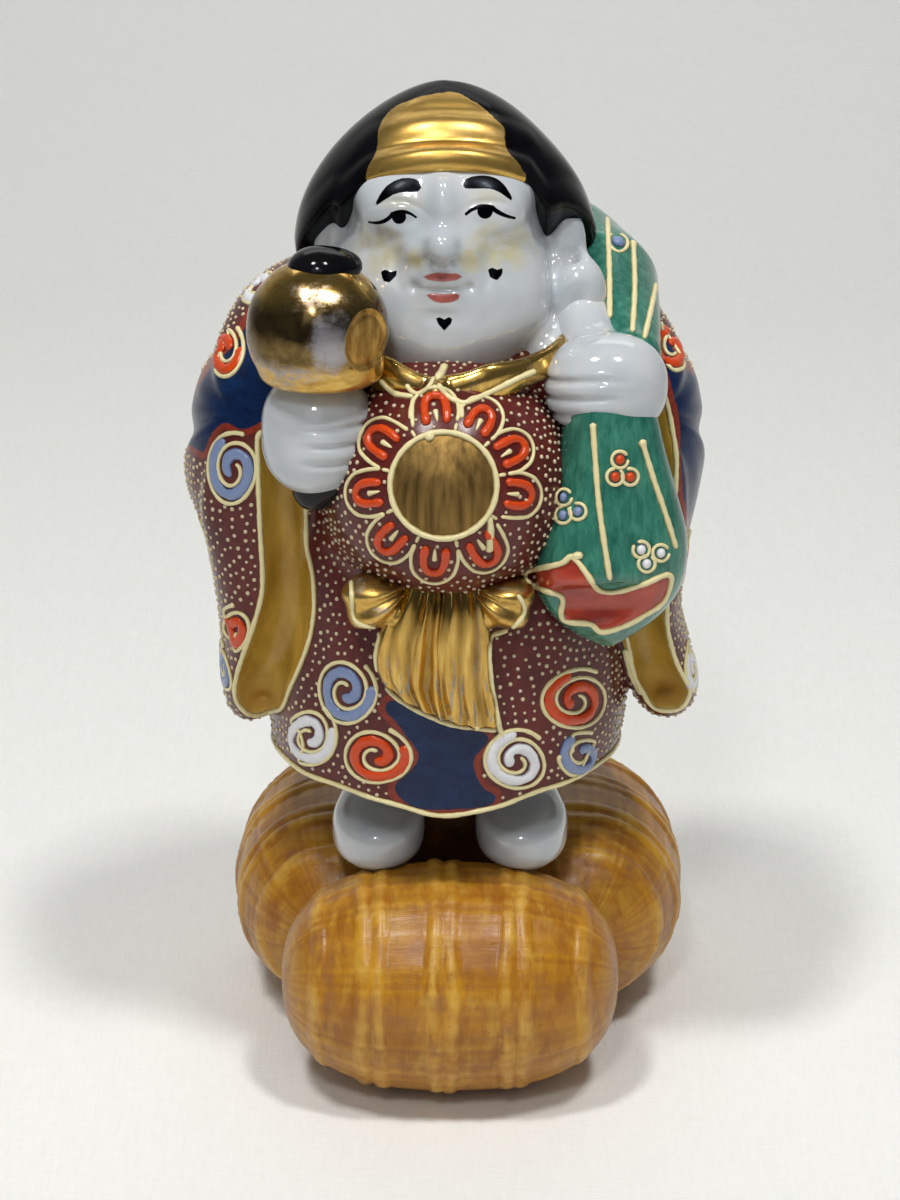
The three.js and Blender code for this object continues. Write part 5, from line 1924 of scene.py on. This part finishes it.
def floor_sweep():
    """A pale cloth floor that curves up into the backdrop."""
    profile = [(FLOOR_FRONT, 0.0)]
    for angle in np.linspace(0, math.pi / 2, 25):
        away, up = math.sin(angle), 1 - math.cos(angle)
        profile.append((SWEEP_FROM + SWEEP_RADIUS * away, SWEEP_RADIUS * up))
    profile.append((SWEEP_FROM + SWEEP_RADIUS, BACKDROP_HEIGHT))
    points = [(x, y, z) for y, z in profile for x in (-FLOOR_SIDE, FLOOR_SIDE)]
    faces = [(2 * i, 2 * i + 1, 2 * i + 3, 2 * i + 2) for i in range(len(profile) - 1)]
    mesh = bpy.data.meshes.new("floor")
    mesh.from_pydata(points, [], faces)
    mesh.polygons.foreach_set("use_smooth", np.ones(len(mesh.polygons), bool))
    floor = bpy.data.objects.new("floor", mesh)
    bpy.context.scene.collection.objects.link(floor)
    return floor


def turned_to(thing, place, aim):
    """Puts a light or the camera in its place, turned to what it is aimed at."""
    thing.location = Vector(place)
    thing.rotation_mode = "QUATERNION"
    thing.rotation_quaternion = (Vector(aim) - Vector(place)).to_track_quat("-Z", "Y")
    bpy.context.scene.collection.objects.link(thing)


def soft_light(name, place, aim, size, watts, colour):
    """An oblong light aimed at a place."""
    light = bpy.data.lights.new(name, "AREA")
    light.shape = "RECTANGLE"
    light.size, light.size_y = size
    light.energy = watts
    light.color = colour
    turned_to(bpy.data.objects.new(name, light), place, aim)


floor = floor_sweep()
floor.data.materials.append(floor_finish())

world = bpy.data.worlds.new("studio")
bpy.context.scene.world = world
world.use_nodes = True
world.node_tree.nodes["Background"].inputs["Color"].default_value = (0.9, 0.95, 1.0, 1)
world.node_tree.nodes["Background"].inputs["Strength"].default_value = AMBIENT

for name, light in LIGHTS.items():
    soft_light(name, *light)

camera = bpy.data.cameras.new("camera")
camera.sensor_width = SENSOR
camera.lens = SENSOR * FOCAL_LENGTH / FRAME_HEIGHT
camera.shift_y = (SIGHT_ROW - FRAME_HEIGHT / 2) / FRAME_HEIGHT
view_from = bpy.data.objects.new("camera", camera)
turned_to(view_from, (FRONT.eye - CASTING_MIDDLE) * MM, (FRONT.AIM - CASTING_MIDDLE) * MM)
bpy.context.scene.camera = view_from
bpy.context.scene.view_settings.view_transform = "Standard"
